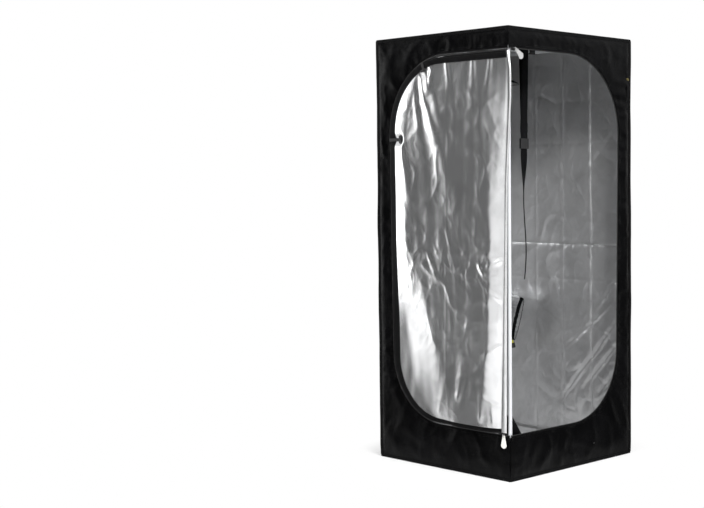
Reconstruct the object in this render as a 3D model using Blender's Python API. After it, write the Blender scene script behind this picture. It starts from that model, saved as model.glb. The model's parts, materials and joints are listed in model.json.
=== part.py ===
# An indoor grow tent: a steel pole frame, a sewn light-proof cover with a wrap-around corner door,
# duct socks, a floor vent, a hanging bar with a strap, and a spill tray.
# Origin: middle of the footprint on the ground, +Z up. The near corner is at -X, -Y.

import math

import bmesh
import bpy
from mathutils import Matrix, Vector
from mathutils.bvhtree import BVHTree

MM = 0.001

# Cover
WIDTH = 600 * MM
HEIGHT = 1400 * MM
FABRIC = 1.2 * MM
SEAM_GAP = 0.3 * MM

# Frame
POLE_RADIUS = 6.5 * MM
POLE_WALL = 0.7 * MM
POLE_FIT = 0.3 * MM
SOCKET_RADIUS = 10.5 * MM
SOCKET_CORE = 10.1 * MM
SOCKET_BACK = 3.3 * MM
SOCKET_REACH = 42 * MM
SOCKET_STOP = 12 * MM
SPIGOT_LENGTH = 60 * MM
POLE_SIDES = 16

# Wrap-around door, measured along each face from the near corner
DOOR_REACH_TOP = 535 * MM
DOOR_REACH_BOTTOM = 520 * MM
DOOR_TOP = 1332 * MM
DOOR_BOTTOM = 146 * MM
DOOR_RADIUS_TOP = 250 * MM
DOOR_RADIUS_BOTTOM = 220 * MM
ARC_STEPS = 8
STRAIGHT_ROWS = 8

# Zip
ZIP_GAP = 0.9 * MM
COIL_RADIUS = 1.5 * MM
TAPE_WIDTH = 16 * MM
TAPE_START = 3.5 * MM
COIL_SIDES = 8

# Door halves
FOLD_LINE_TOP = 3 * MM
FOLD_LINE_BOTTOM = 32 * MM
FLAP_OFFSET = 12 * MM
FLAP_CLOSED_OFFSET = 4 * MM
FLAP_INSET = 7.5 * MM
FLAP_THICKNESS = 1 * MM
FLAP_COLUMNS = 22
FLAP_FOLD_DEPTH = 15 * MM
FLAP_EASE = 75 * MM
FLAP_PIN_EASE = 60 * MM
FOLD_STEPS = 4
FOLD_END = 8 * MM
HINGE_OFFSET = 3 * MM
HINGE_MARGIN = 3 * MM

# Each fold of the opened door: where its crest starts at the top and ends at the bottom, as shares of
# the flap's width from the fold edge, its half width as a share of that width, and its depth share.
FLAP_FOLD_SHARES = (
    (0.10, 0.05, 0.055, 0.55),
    (0.30, 0.24, 0.060, 0.45),
    (0.52, 0.40, 0.050, 0.60),
    (0.66, 0.60, 0.065, 0.80),
    (0.72, 0.80, 0.055, 1.00),
    (0.88, 0.93, 0.045, 0.55),
)

# Toggles that hold the opened door back
TOGGLE_UPPER_S = 372 * MM
TOGGLE_SIDE_Z = 1067 * MM
TOGGLE_UPPER_ARM = 24 * MM
TOGGLE_SIDE_ARM = 52 * MM
TOGGLE_BACK_ARM = 14 * MM
TOGGLE_BAND = 10 * MM
TOGGLE_BAND_THICKNESS = 1.5 * MM
TOGGLE_BARREL_RADIUS = 3.5 * MM
TOGGLE_BARREL_LENGTH = 24 * MM
TOGGLE_POST = 8 * MM

# Zip sliders and pulls
SLIDER_LENGTH = 12 * MM
SLIDER_WIDTH = 9.6 * MM
SLIDER_PLATE = 1.5 * MM
SLIDER_WEDGE = 3 * MM
CROWN_LENGTH = 10.4 * MM
CROWN_WIDTH = 1.6 * MM
CROWN_WINDOW = 8 * MM
CROWN_ROOM = 3 * MM
CROWN_BAR = 1.2 * MM
RING_RADIUS = 4.5 * MM
RING_WIRE = 0.8 * MM
PULL_WIDTH = 23 * MM
PULL_HEIGHT = 41 * MM
PULL_NECK = 10 * MM
PULL_HOLE = 2.3 * MM
PULL_THICKNESS = 2.4 * MM
SLIDER_TOP_S = 23 * MM
SLIDER_BOTTOM_S = 20 * MM
TOP_PULL_SWING = math.radians(50)

# Hanging bars, strap and buckle
BAR_Y = 120 * MM
CLIP_RADIUS = 9.5 * MM
CLIP_LENGTH = 16 * MM
CLIP_REACH = 34 * MM
CLIP_MOUTH = 10 * MM
STRAP_X = -33 * MM
STRAP_WIDTH = 30 * MM
STRAP_THICKNESS = 1.5 * MM
STRAP_JOIN_Z = 1135 * MM
STRAP_START_Z = 1035 * MM
STRAP_END_Z = 606 * MM
STRAP_SAG = 9 * MM
STRAP_TWIST = math.radians(26)
STRAP_TWIST_START_SHARE = 0.2
STRAP_TWIST_END_SHARE = 0.7
STRAP_STEPS = 22
STRAP_OVER_STEPS = 8
BUCKLE_Z = 1052 * MM
BUCKLE_HEIGHT = 34 * MM
BUCKLE_RIM = 3 * MM
BUCKLE_EDGE = 1 * MM

# Duct socks on the back wall
UPPER_PORT_INSET = 110 * MM
LOWER_PORT_INSET = 80 * MM
PORT_RADIUS = 60 * MM
LOWER_PORT_Z = 462 * MM
UPPER_PORT_Z = 1312 * MM
SOCK_LENGTH = 160 * MM
UPPER_SOCK_LENGTH = 120 * MM
SOCK_THICKNESS = 1.2 * MM
SOCK_NARROW = 32 * MM
SOCK_DROP = 28 * MM
UPPER_SOCK_DROP = 36 * MM
SOCK_TILT = math.radians(17)
UPPER_SOCK_TILT = math.radians(48)
SOCK_HEM = 14 * MM
SOCK_HEM_RISE = 1.2 * MM
SOCK_FOLDS = 7
SOCK_FOLD_DEPTH = 2.5 * MM
SOCK_RINGS = 9
SOCK_SIDES = 28
LOCK_RADIUS = 8 * MM
LOCK_HEIGHT = 18 * MM
LOCK_TILT = math.radians(72)
BUTTON_RADIUS = 5.8 * MM
BUTTON_HEIGHT = 14 * MM
BUTTON_STAND = 8 * MM
LOCK_FLOOR = 2 * MM
SEAT_PASSES = 12

# Floor vent in the back wall
VENT_X = -90 * MM
VENT_Z = 170 * MM
VENT_WIDTH = 240 * MM
VENT_HEIGHT = 110 * MM
VENT_HEM = 12 * MM
VENT_MESH = 0.8 * MM

# Floor
TRAY_HEIGHT = 35 * MM
TRAY_WALL = 1.2 * MM
TRAY_GAP = 0.5 * MM

# Gusset behind the foot of the near upright
GUSSET_DEPTH = 45 * MM
GUSSET_LOW = 45 * MM
GUSSET_STEP_Z = 126 * MM
GUSSET_STEP = 4.5 * MM
GUSSET_SHOULDER_Z = 140 * MM
GUSSET_HIGH = 206 * MM
GUSSET_TIP = 4 * MM

OVERRUN = 5 * MM
SHARP_ANGLE = math.radians(35)

# Worked out from the sizes above
HALF = WIDTH / 2
UPPER_PORT = (HALF - UPPER_PORT_INSET, UPPER_PORT_Z)
LOWER_PORT = (HALF - LOWER_PORT_INSET, LOWER_PORT_Z)
WALL_LOW = FABRIC + SEAM_GAP
WALL_HIGH = HEIGHT - FABRIC - SEAM_GAP
INSET = HALF - FABRIC - SEAM_GAP - SOCKET_RADIUS
BOTTOM_Z = WALL_LOW + SOCKET_RADIUS
TOP_Z = WALL_HIGH - SOCKET_RADIUS
MIDDLE_Z = HEIGHT / 2
MID_PLANE = HALF - FABRIC / 2
FLAP_AXIS = HALF + (FLAP_OFFSET + FLAP_CLOSED_OFFSET) / 2
BORE_RADIUS = POLE_RADIUS + POLE_FIT
CORNERS = {"fl": (-1, -1), "fr": (1, -1), "bl": (-1, 1), "br": (1, 1)}


def clear_scene():
    for old in list(bpy.data.objects):
        bpy.data.objects.remove(old)


def material(name, colour, roughness, metallic=0.0):
    made = bpy.data.materials.new(name)
    made.use_nodes = True
    shader = made.node_tree.nodes["Principled BSDF"]
    shader.inputs["Base Color"].default_value = (*colour, 1.0)
    shader.inputs["Roughness"].default_value = roughness
    shader.inputs["Metallic"].default_value = metallic
    return made


def make_object(name, mesh, look=None, parent=None):
    made = bpy.data.objects.new(name, mesh)
    bpy.context.scene.collection.objects.link(made)
    made.parent = parent
    if look:
        mesh.materials.clear()
        mesh.materials.append(look)
    return made


def make_empty(name, location, rotation=(0.0, 0.0, 0.0), parent=None):
    made = bpy.data.objects.new(name, None)
    bpy.context.scene.collection.objects.link(made)
    made.parent = parent
    made.location = location
    made.rotation_euler = rotation
    return made


def to_mesh(name, bm, smooth=True):
    bmesh.ops.recalc_face_normals(bm, faces=bm.faces)
    if bm.calc_volume(signed=True) < 0.0:
        bmesh.ops.reverse_faces(bm, faces=bm.faces)
    mesh = bpy.data.meshes.new(name)
    bm.to_mesh(mesh)
    bm.free()
    if smooth:
        mesh.shade_smooth()
        mesh.set_sharp_from_angle(angle=SHARP_ANGLE)
    return mesh


def combine(target, tool, operation):
    """Cut, join or intersect target with tool and keep the result as a plain mesh."""
    step = target.modifiers.new("step", "BOOLEAN")
    step.operation = operation
    step.solver = "EXACT"
    step.object = tool
    bpy.context.view_layer.update()
    graph = bpy.context.evaluated_depsgraph_get()
    target.data = bpy.data.meshes.new_from_object(target.evaluated_get(graph))
    target.modifiers.clear()
    bpy.data.objects.remove(tool)


def box_mesh(name, size, centre=(0.0, 0.0, 0.0), edge=0.0):
    bm = bmesh.new()
    bmesh.ops.create_cube(bm, size=1.0)
    bmesh.ops.scale(bm, vec=size, verts=bm.verts)
    if edge:
        bmesh.ops.bevel(bm, geom=bm.edges, offset=edge, segments=1, affect="EDGES")
    bmesh.ops.translate(bm, vec=centre, verts=bm.verts)
    return to_mesh(name, bm, smooth=False)


def cylinder_mesh(name, radius, start, end, sides=POLE_SIDES):
    """A solid cylinder between two points."""
    start, end = Vector(start), Vector(end)
    bm = bmesh.new()
    bmesh.ops.create_cone(
        bm, cap_ends=True, segments=sides, radius1=radius, radius2=radius, depth=(end - start).length
    )
    turn = Vector((0, 0, 1)).rotation_difference(end - start).to_matrix().to_4x4()
    bm.transform(Matrix.Translation((start + end) / 2) @ turn)
    return to_mesh(name, bm)


def turned_mesh(name, profile, sides=POLE_SIDES):
    """A closed profile of (radius, height) points turned about Z; no point lies on the axis."""
    bm = bmesh.new()
    rings = []
    for side in range(sides):
        angle = math.tau * side / sides
        rings.append([bm.verts.new((r * math.cos(angle), r * math.sin(angle), z)) for r, z in profile])
    skin(bm, rings, closed=True)
    return to_mesh(name, bm)


def skin(bm, rings, closed=False):
    """Quads between rings of equal length whose points form closed loops."""
    pairs = list(zip(rings, rings[1:]))
    if closed:
        pairs.append((rings[-1], rings[0]))
    for first, second in pairs:
        for here in range(len(first)):
            there = (here + 1) % len(first)
            bm.faces.new((first[here], first[there], second[there], second[here]))


def plate_mesh(name, outline, thickness, place):
    """A flat outline of (a, b) points given depth; place(a, b, depth) returns the 3-D point."""
    bm = bmesh.new()
    faces = []
    for depth in (0.0, thickness):
        faces.append([bm.verts.new(place(a, b, depth)) for a, b in outline])
    bm.faces.new(faces[0])
    bm.faces.new(faces[1])
    skin(bm, faces)
    return to_mesh(name, bm, smooth=False)


def arc_points(before, corner, after, radius, steps):
    """Points on the arc that rounds a corner between two straight lines."""
    before, corner, after = Vector(before), Vector(corner), Vector(after)
    inward = (before - corner).normalized()
    onward = (after - corner).normalized()
    half = inward.angle(onward) / 2
    centre = corner + (inward + onward).normalized() * radius / math.sin(half)
    start = corner + inward * radius / math.tan(half) - centre
    sweep = start.angle_signed(corner + onward * radius / math.tan(half) - centre)
    points = []
    for step in range(steps + 1):
        angle = -sweep * step / steps
        turned = Matrix.Rotation(angle, 2) @ start
        points.append(tuple(centre + turned))
    return points


def door_edge(grow):
    """The door's curved edge from the top arc's start to the bottom arc's end, moved out by grow."""
    start = (0.0, DOOR_TOP + grow)
    upper = (DOOR_REACH_TOP + grow, DOOR_TOP + grow)
    lower = (DOOR_REACH_BOTTOM + grow, DOOR_BOTTOM - grow)
    end = (0.0, DOOR_BOTTOM - grow)
    top_arc = arc_points(start, upper, lower, DOOR_RADIUS_TOP + grow, ARC_STEPS)
    bottom_arc = arc_points(upper, lower, end, DOOR_RADIUS_BOTTOM + grow, ARC_STEPS)
    return top_arc, bottom_arc


def door_outline(grow, near_top=0.0, near_bottom=0.0):
    """The edge with its ends on the line that runs from near_top to near_bottom."""
    top_arc, bottom_arc = door_edge(grow)
    first = (near_line(DOOR_TOP + grow, near_top, near_bottom), DOOR_TOP + grow)
    last = (near_line(DOOR_BOTTOM - grow, near_top, near_bottom), DOOR_BOTTOM - grow)
    return [first, *top_arc, *bottom_arc, last]


def near_line(z, near_top, near_bottom):
    share = (DOOR_TOP - z) / (DOOR_TOP - DOOR_BOTTOM)
    return near_top + (near_bottom - near_top) * share


def on_front(s, z, depth):
    """A point s along the front face from the near corner, depth inside its outer surface."""
    return (s - HALF, depth - HALF, z)


def on_left(s, z, depth):
    return (depth - HALF, s - HALF, z)


def make_looks():
    return {
        "cover": material("cover", (0.012, 0.012, 0.014), 0.62),
        "film": material("film", (0.72, 0.72, 0.73), 0.3, 0.85),
        "pole": material("pole", (0.82, 0.83, 0.85), 0.32),
        "plastic": material("plastic", (0.02, 0.02, 0.02), 0.45),
        "tape": material("tape", (0.01, 0.01, 0.011), 0.7),
        "pull": material("pull", (0.85, 0.84, 0.8), 0.4),
        "metal": material("metal", (0.55, 0.55, 0.56), 0.3, 1.0),
        "webbing": material("webbing", (0.015, 0.015, 0.016), 0.8),
        "button": material("button", (0.55, 0.55, 0.1), 0.45),
        "mesh": material("mesh", (0.03, 0.03, 0.03), 0.8),
    }


def make_uprights(looks):
    """Two tubes at each corner: the upper one has a swaged spigot that drops into the lower one."""
    inner = POLE_RADIUS - POLE_WALL
    spigot = inner - POLE_FIT
    low_end = BOTTOM_Z + SOCKET_STOP
    high_end = TOP_Z - SOCKET_STOP
    lower = [(inner, low_end), (POLE_RADIUS, low_end), (POLE_RADIUS, MIDDLE_Z), (inner, MIDDLE_Z)]
    shoulder = MIDDLE_Z + POLE_FIT
    neck = shoulder + POLE_WALL
    upper = [
        (spigot - POLE_WALL, MIDDLE_Z - SPIGOT_LENGTH),
        (spigot, MIDDLE_Z - SPIGOT_LENGTH),
        (spigot, shoulder),
        (POLE_RADIUS, shoulder),
        (POLE_RADIUS, high_end),
        (inner, high_end),
        (inner, neck + POLE_WALL),
        (spigot - POLE_WALL, neck),
    ]
    lower_mesh = turned_mesh("upright_lower", lower)
    upper_mesh = turned_mesh("upright_upper", upper)
    for corner, (side_x, side_y) in CORNERS.items():
        for level, mesh in (("lower", lower_mesh), ("upper", upper_mesh)):
            pole = make_object(f"upright_{level}_{corner}", mesh, looks["pole"])
            pole.location = (side_x * INSET, side_y * INSET, 0.0)


def make_bars(looks):
    """Horizontal tubes between the corner sockets, at the floor and under the roof."""
    half = INSET - SOCKET_STOP
    inner = POLE_RADIUS - POLE_WALL
    profile = [(inner, -half), (POLE_RADIUS, -half), (POLE_RADIUS, half), (inner, half)]
    mesh = turned_mesh("bar", profile)
    quarter = math.pi / 2
    places = {
        "front": ((0.0, -INSET), (0.0, quarter, 0.0)),
        "back": ((0.0, INSET), (0.0, quarter, 0.0)),
        "left": ((-INSET, 0.0), (quarter, 0.0, 0.0)),
        "right": ((INSET, 0.0), (quarter, 0.0, 0.0)),
    }
    for level, z in (("top", TOP_Z), ("base", BOTTOM_Z)):
        for side, (spot, turn) in places.items():
            bar = make_object(f"{level}_bar_{side}", mesh, looks["pole"])
            bar.location = (*spot, z)
            bar.rotation_euler = turn


def make_connectors(looks):
    """Three-way sockets with arms along +X, +Y and -Z, turned into each corner."""
    arms = ((1, 0, 0), (0, 1, 0), (0, 0, -1))
    bm = bmesh.new()
    bmesh.ops.create_uvsphere(bm, u_segments=POLE_SIDES, v_segments=POLE_SIDES // 2, radius=SOCKET_CORE)
    socket = make_object("socket", to_mesh("socket", bm))
    for arm in arms:
        heel = Vector(arm) * -SOCKET_BACK
        tip = Vector(arm) * SOCKET_REACH
        sleeve = cylinder_mesh("sleeve", SOCKET_RADIUS, heel, tip)
        combine(socket, make_object("sleeve", sleeve), "UNION")
    for arm in arms:
        seat = Vector(arm) * (SOCKET_STOP - POLE_FIT)
        mouth = Vector(arm) * (SOCKET_REACH + OVERRUN)
        bore = cylinder_mesh("bore", BORE_RADIUS, seat, mouth)
        combine(socket, make_object("bore", bore), "DIFFERENCE")
    mesh = socket.data
    mesh.shade_smooth()
    mesh.set_sharp_from_angle(angle=SHARP_ANGLE)
    bpy.data.objects.remove(socket)
    quarter = math.pi / 2
    turns = {"fl": 0, "fr": 1, "br": 2, "bl": 3}
    for corner, (side_x, side_y) in CORNERS.items():
        top = make_object(f"connector_top_{corner}", mesh, looks["plastic"])
        top.location = (side_x * INSET, side_y * INSET, TOP_Z)
        top.rotation_euler = (0.0, 0.0, turns[corner] * quarter)
        base = make_object(f"connector_base_{corner}", mesh, looks["plastic"])
        base.location = (side_x * INSET, side_y * INSET, BOTTOM_Z)
        base.rotation_euler = (math.pi, 0.0, (turns[corner] + 1) * quarter)


def wall_outline(near):
    """A face with the door cut out of its near side, as (s, z) points."""
    far = WIDTH - near
    cut = door_outline(TAPE_WIDTH + SEAM_GAP, near, near)
    return [(near, WALL_HIGH), (far, WALL_HIGH), (far, WALL_LOW), (near, WALL_LOW), *reversed(cut)]


def make_cover(looks):
    side_start = FABRIC + SEAM_GAP
    front = plate_mesh("wall_front", wall_outline(0.0), FABRIC, on_front)
    make_object("wall_front", front, looks["cover"])
    left = plate_mesh("wall_left", wall_outline(side_start), FABRIC, on_left)
    make_object("wall_left", left, looks["cover"])
    tall = WALL_HIGH - WALL_LOW
    middle = (WALL_HIGH + WALL_LOW) / 2
    right = box_mesh("wall_right", (FABRIC, WIDTH - 2 * side_start, tall), (MID_PLANE, 0.0, middle))
    make_object("wall_right", right, looks["cover"])
    back = box_mesh("wall_back", (WIDTH, FABRIC, tall), (0.0, MID_PLANE, middle))
    back = make_object("wall_back", back, looks["cover"])
    cut_back_wall(back)
    for name, z in (("roof_panel", HEIGHT - FABRIC / 2), ("floor_panel", FABRIC / 2)):
        panel = box_mesh(name, (WIDTH, WIDTH, FABRIC), (0.0, 0.0, z))
        make_object(name, panel, looks["cover"])


def cut_back_wall(back):
    deep = FABRIC + 2 * OVERRUN
    for x, z in (LOWER_PORT, UPPER_PORT):
        start = (x, HALF - deep, z)
        end = (x, HALF + deep, z)
        hole = cylinder_mesh("hole", PORT_RADIUS + SEAM_GAP, start, end, SOCK_SIDES)
        combine(back, make_object("hole", hole), "DIFFERENCE")
    window = box_mesh("window", (VENT_WIDTH, deep, VENT_HEIGHT), (VENT_X, MID_PLANE, VENT_Z))
    combine(back, make_object("window", window), "DIFFERENCE")


def coil_section(side):
    """Points (grow, rise) round a coil and its tape; side is 1 on the wall and -1 on the door."""
    half = FABRIC / 2
    reach = math.asin(half / COIL_RADIUS)
    centre = ZIP_GAP / 2 + COIL_RADIUS
    points = []
    for step in range(COIL_SIDES + 1):
        angle = reach + (math.tau - 2 * reach) * step / COIL_SIDES
        points.append((side * (centre + COIL_RADIUS * math.cos(angle)), COIL_RADIUS * math.sin(angle)))
    return points


def make_zip_tapes(looks):
    """The coil and tape sewn round the door opening on each face."""
    half = FABRIC / 2
    section = [(TAPE_WIDTH, half), *coil_section(1), (TAPE_WIDTH, -half)]
    for name, place in (("zip_tape_front", on_front), ("zip_tape_left", on_left)):
        bm = bmesh.new()
        outlines = [door_outline(grow, TAPE_START, TAPE_START) for grow, _ in section]
        rings = []
        for index in range(len(outlines[0])):
            ring = []
            for outline, (_, rise) in zip(outlines, section):
                s, z = outline[index]
                ring.append(bm.verts.new(place(s, z, half - rise)))
            rings.append(ring)
        skin(bm, rings)
        bm.faces.new(rings[0])
        bm.faces.new(rings[-1])
        make_object(name, to_mesh(name, bm), looks["tape"])


def fold_section():
    """Points (across, out) round the cloth that turns from the zipped half to the opened half."""
    half = FABRIC / 2
    radius = (FLAP_OFFSET + half - SEAM_GAP) / 2
    turn = []
    for thick in (half, -half):
        side = []
        for step in range(FOLD_STEPS + 1):
            angle = math.pi * step / FOLD_STEPS
            reach = radius + thick
            side.append((-reach * math.sin(angle), radius - reach * math.cos(angle)))
        turn.append(side)
    return turn[0] + turn[1][::-1]


def make_zipped_half(looks, swing):
    """The half of the door still zipped to the left face, with its coil, its fold and two posts."""
    half = FABRIC / 2
    section = coil_section(-1)
    outlines = [door_outline(grow, FOLD_LINE_TOP, FOLD_LINE_BOTTOM) for grow, _ in section]
    bm = bmesh.new()
    rings = []
    for outline, (_, rise) in zip(outlines, section):
        rings.append([bm.verts.new(on_left(s, z, half - rise)) for s, z in outline])
    for first, second in zip(rings, rings[1:]):
        for here in range(len(first) - 1):
            bm.faces.new((first[here], first[here + 1], second[here + 1], second[here]))
    bm.faces.new(rings[0])
    bm.faces.new(rings[-1])
    bm.faces.new([ring[0] for ring in rings] + [ring[-1] for ring in reversed(rings)])
    door = make_object("door_zipped_half", to_mesh("door_zipped_half", bm), looks["cover"])
    combine(door, make_fold(), "UNION")
    reach = FLAP_OFFSET - FLAP_THICKNESS / 2 - 2 * SEAM_GAP - TOGGLE_BAND_THICKNESS
    size = (reach + half, TOGGLE_POST, TOGGLE_POST)
    for _, edge, out, _ in toggle_frames():
        middle = on_left(*(edge - out * TOGGLE_BACK_ARM / 2), (half - reach) / 2)
        combine(door, make_object("post", box_mesh("post", size, middle)), "UNION")
    hang(door, swing)


def make_fold():
    """A strip of cloth along the fold line, from the zipped half out to the flap's edge."""
    bm = bmesh.new()
    rings = []
    for z in (DOOR_TOP - FOLD_END, DOOR_BOTTOM + FOLD_END):
        line = near_line(z, FOLD_LINE_TOP, FOLD_LINE_BOTTOM)
        ring = []
        for across, out in fold_section():
            lap = FABRIC if out < FABRIC / 2 and across > -FABRIC else 0.0
            ring.append(bm.verts.new(on_left(line + across + lap, z, FABRIC / 2 - out)))
        rings.append(ring)
    skin(bm, rings)
    bm.faces.new(rings[0])
    bm.faces.new(rings[-1])
    return make_object("fold", to_mesh("fold", bm))


def hang(piece, pivot):
    """Parent a piece to the empty on its joint's axis without moving it."""
    bpy.context.view_layer.update()
    piece.parent = pivot
    piece.matrix_parent_inverse = pivot.matrix_world.inverted()


def smooth_share(value):
    value = min(max(value, 0.0), 1.0)
    return value * value * (3.0 - 2.0 * value)


def flap_rows():
    """Pairs (far s, z) down the flap's curved edge, one for each row of cloth."""
    top_arc, bottom_arc = door_edge(-FLAP_INSET)
    start, end = Vector(top_arc[-1]), Vector(bottom_arc[0])
    rows = [tuple(start.lerp(end, step / STRAIGHT_ROWS)) for step in range(1, STRAIGHT_ROWS)]
    return [*top_arc, *rows, *bottom_arc]


def flap_lift(s, z, near, far):
    """How far the cloth's folds stand off its hanging plane at this point."""
    width = DOOR_REACH_TOP - FOLD_LINE_TOP
    height = DOOR_TOP - DOOR_BOTTOM
    down = (DOOR_TOP - z) / height
    lift = 0.0
    for top_share, bottom_share, breadth_share, depth_share in FLAP_FOLD_SHARES:
        crest = FOLD_LINE_TOP + width * (top_share + (bottom_share - top_share) * down)
        away = (s - crest) / (width * breadth_share)
        lift += FLAP_FOLD_DEPTH * depth_share * math.exp(-away * away)
    edge = min(s - near, far - s, DOOR_TOP - FLAP_INSET - z, z - DOOR_BOTTOM - FLAP_INSET)
    lift *= smooth_share(edge / FLAP_EASE)
    for pin_s, pin_z in toggle_spots():
        away = math.hypot(s - pin_s, z - pin_z)
        lift *= smooth_share(away / FLAP_PIN_EASE - 1.0)
    return lift


def make_flap(looks, fold):
    """The opened half of the door: cloth in main folds, hanging outside the left face."""
    half = FLAP_THICKNESS / 2
    rows = flap_rows()
    bm = bmesh.new()
    sheets = []
    for side in (-half, half):
        sheet = []
        for far, z in rows:
            near = near_line(z, FOLD_LINE_TOP, FOLD_LINE_BOTTOM) + SEAM_GAP
            row = []
            for column in range(FLAP_COLUMNS + 1):
                s = near + (far - near) * column / FLAP_COLUMNS
                out = FLAP_OFFSET + flap_lift(s, z, near, far) + side
                row.append(bm.verts.new(on_left(s, z, -out)))
            sheet.append(row)
        sheets.append(sheet)
    for sheet in sheets:
        for first, second in zip(sheet, sheet[1:]):
            for here in range(FLAP_COLUMNS):
                bm.faces.new((first[here], first[here + 1], second[here + 1], second[here]))
    rims = [rim_of(sheet) for sheet in sheets]
    skin(bm, rims)
    flap = make_object("door_flap", to_mesh("door_flap", bm), looks["film"])
    hang(flap, fold)


def rim_of(sheet):
    """The closed loop of points round a grid of rows."""
    right = [row[-1] for row in sheet[1:-1]]
    left = [row[0] for row in sheet[1:-1]]
    return [*sheet[0], *right, *reversed(sheet[-1]), *reversed(left)]


def flap_edge_point(index_share):
    """A point on the top arc of the flap's edge and the outward direction there."""
    top_arc, _ = door_edge(-FLAP_INSET)
    count = len(top_arc) - 1
    place = index_share * count
    low = min(int(place), count - 1)
    spot = Vector(top_arc[low]).lerp(Vector(top_arc[low + 1]), place - low)
    along = (Vector(top_arc[low + 1]) - Vector(top_arc[low])).normalized()
    return spot, Vector((-along.y, along.x))


def toggle_frames():
    """For each toggle: the flap edge point it clasps, the outward direction and its arm's length."""
    centre_s = DOOR_REACH_TOP - DOOR_RADIUS_TOP
    share = math.asin((TOGGLE_UPPER_S - centre_s) / DOOR_RADIUS_TOP) / (math.pi / 2)
    upper, upper_out = flap_edge_point(share)
    rows = flap_rows()
    side_z = TOGGLE_SIDE_Z
    for (s_above, z_above), (s_below, z_below) in zip(rows, rows[1:]):
        if z_above >= side_z > z_below:
            part = (z_above - side_z) / (z_above - z_below)
            side = Vector((s_above + (s_below - s_above) * part, side_z))
            along = Vector((s_below - s_above, z_below - z_above)).normalized()
    side_out = Vector((-along.y, along.x))
    return (
        ("toggle_upper", upper, upper_out, TOGGLE_UPPER_ARM),
        ("toggle_side", side, side_out, TOGGLE_SIDE_ARM),
    )


def toggle_spots():
    return [tuple(edge - out * arm) for _, edge, out, arm in toggle_frames()]


def make_toggles(looks, fold):
    """A webbing band clasps the flap's edge and carries a barrel on the silver side."""
    inner = FLAP_THICKNESS / 2 + SEAM_GAP
    outer = inner + TOGGLE_BAND_THICKNESS
    for name, edge, out, arm in toggle_frames():
        front, back = -arm, -TOGGLE_BACK_ARM
        clasp = SEAM_GAP + TOGGLE_BAND_THICKNESS
        section = [
            (front, outer), (clasp, outer), (clasp, -outer), (back, -outer),
            (back, -inner), (SEAM_GAP, -inner), (SEAM_GAP, inner), (front, inner),
        ]
        along = Vector((-out.y, out.x))

        def place(across, rise, depth):
            spot = edge + out * across + along * (depth - TOGGLE_BAND / 2)
            return on_left(spot.x, spot.y, -FLAP_OFFSET - rise)

        band = make_object(name, plate_mesh(name, section, TOGGLE_BAND, place), looks["plastic"])
        spot = edge - out * arm
        reach = along * TOGGLE_BARREL_LENGTH / 2
        depth = -FLAP_OFFSET - inner - TOGGLE_BARREL_RADIUS
        ends = [on_left(*(spot + sign * reach), depth) for sign in (-1, 1)]
        barrel = cylinder_mesh("barrel", TOGGLE_BARREL_RADIUS, *ends, COIL_SIDES)
        combine(band, make_object("barrel", barrel), "UNION")
        hang(band, fold)


def slider_mesh():
    """Plates astride both coils, a wedge between them and a crown. Local X slides, Y is outward."""
    room = COIL_RADIUS + SEAM_GAP
    top = room + SLIDER_PLATE
    plate = (SLIDER_LENGTH, SLIDER_PLATE, SLIDER_WIDTH)
    middle = room + SLIDER_PLATE / 2
    body = make_object("slider", box_mesh("slider", plate, (0.0, middle, 0.0)))
    inner_plate = box_mesh("plate", plate, (0.0, -middle, 0.0))
    wedge_size = (SLIDER_WEDGE, 2 * middle, ZIP_GAP - 2 * SEAM_GAP)
    wedge_at = ((SLIDER_WEDGE - SLIDER_LENGTH) / 2, 0.0, 0.0)
    wedge = box_mesh("wedge", wedge_size, wedge_at)
    combine(body, make_object("wedge", wedge), "UNION")
    combine(body, make_object("plate", inner_plate), "UNION")
    rise = CROWN_ROOM + CROWN_BAR
    crown_size = (CROWN_LENGTH, rise + SLIDER_PLATE / 2, CROWN_WIDTH)
    crown = box_mesh("crown", crown_size, (0.0, top + (rise - SLIDER_PLATE / 2) / 2, 0.0))
    combine(body, make_object("crown", crown), "UNION")
    window_size = (CROWN_WINDOW, CROWN_ROOM, CROWN_WIDTH + OVERRUN)
    window = box_mesh("window", window_size, (0.0, top + CROWN_ROOM / 2, 0.0))
    combine(body, make_object("window", window), "DIFFERENCE")
    mesh = body.data
    bpy.data.objects.remove(body)
    return mesh


def ring_mesh():
    """A wire ring in the local YZ plane, centred on the origin."""
    profile = []
    for side in range(COIL_SIDES):
        angle = math.tau * side / COIL_SIDES
        profile.append((RING_RADIUS + RING_WIRE * math.cos(angle), RING_WIRE * math.sin(angle)))
    mesh = turned_mesh("ring", profile, 2 * COIL_SIDES)
    mesh.transform(Matrix.Rotation(math.pi / 2, 4, "Y"))
    return mesh


def pull_mesh():
    """A pear-shaped tab in the local XZ plane. It hangs on a ring that is centred on the origin."""
    neck = PULL_NECK / 2
    bowl = PULL_WIDTH / 2
    apart = PULL_HEIGHT - neck - bowl
    lean = math.asin((bowl - neck) / apart)
    outline = []
    for radius, centre, start, end in (
        (neck, 0.0, -lean, math.pi + lean),
        (bowl, -apart, math.pi + lean, math.tau - lean),
    ):
        for step in range(ARC_STEPS + 1):
            angle = start + (end - start) * step / ARC_STEPS
            outline.append((radius * math.cos(angle), centre + radius * math.sin(angle)))

    def place(a, b, depth):
        return (a, depth - PULL_THICKNESS / 2, b)

    tab = make_object("tab", plate_mesh("tab", outline, PULL_THICKNESS, place))
    reach = PULL_THICKNESS / 2 + OVERRUN
    hole = cylinder_mesh("hole", PULL_HOLE, (0.0, -reach, 0.0), (0.0, reach, 0.0))
    combine(tab, make_object("hole", hole), "DIFFERENCE")
    mesh = tab.data
    mesh.transform(Matrix.Translation((0.0, 0.0, RING_WIRE + SEAM_GAP - RING_RADIUS - PULL_HOLE)))
    bpy.data.objects.remove(tab)
    return mesh


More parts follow.
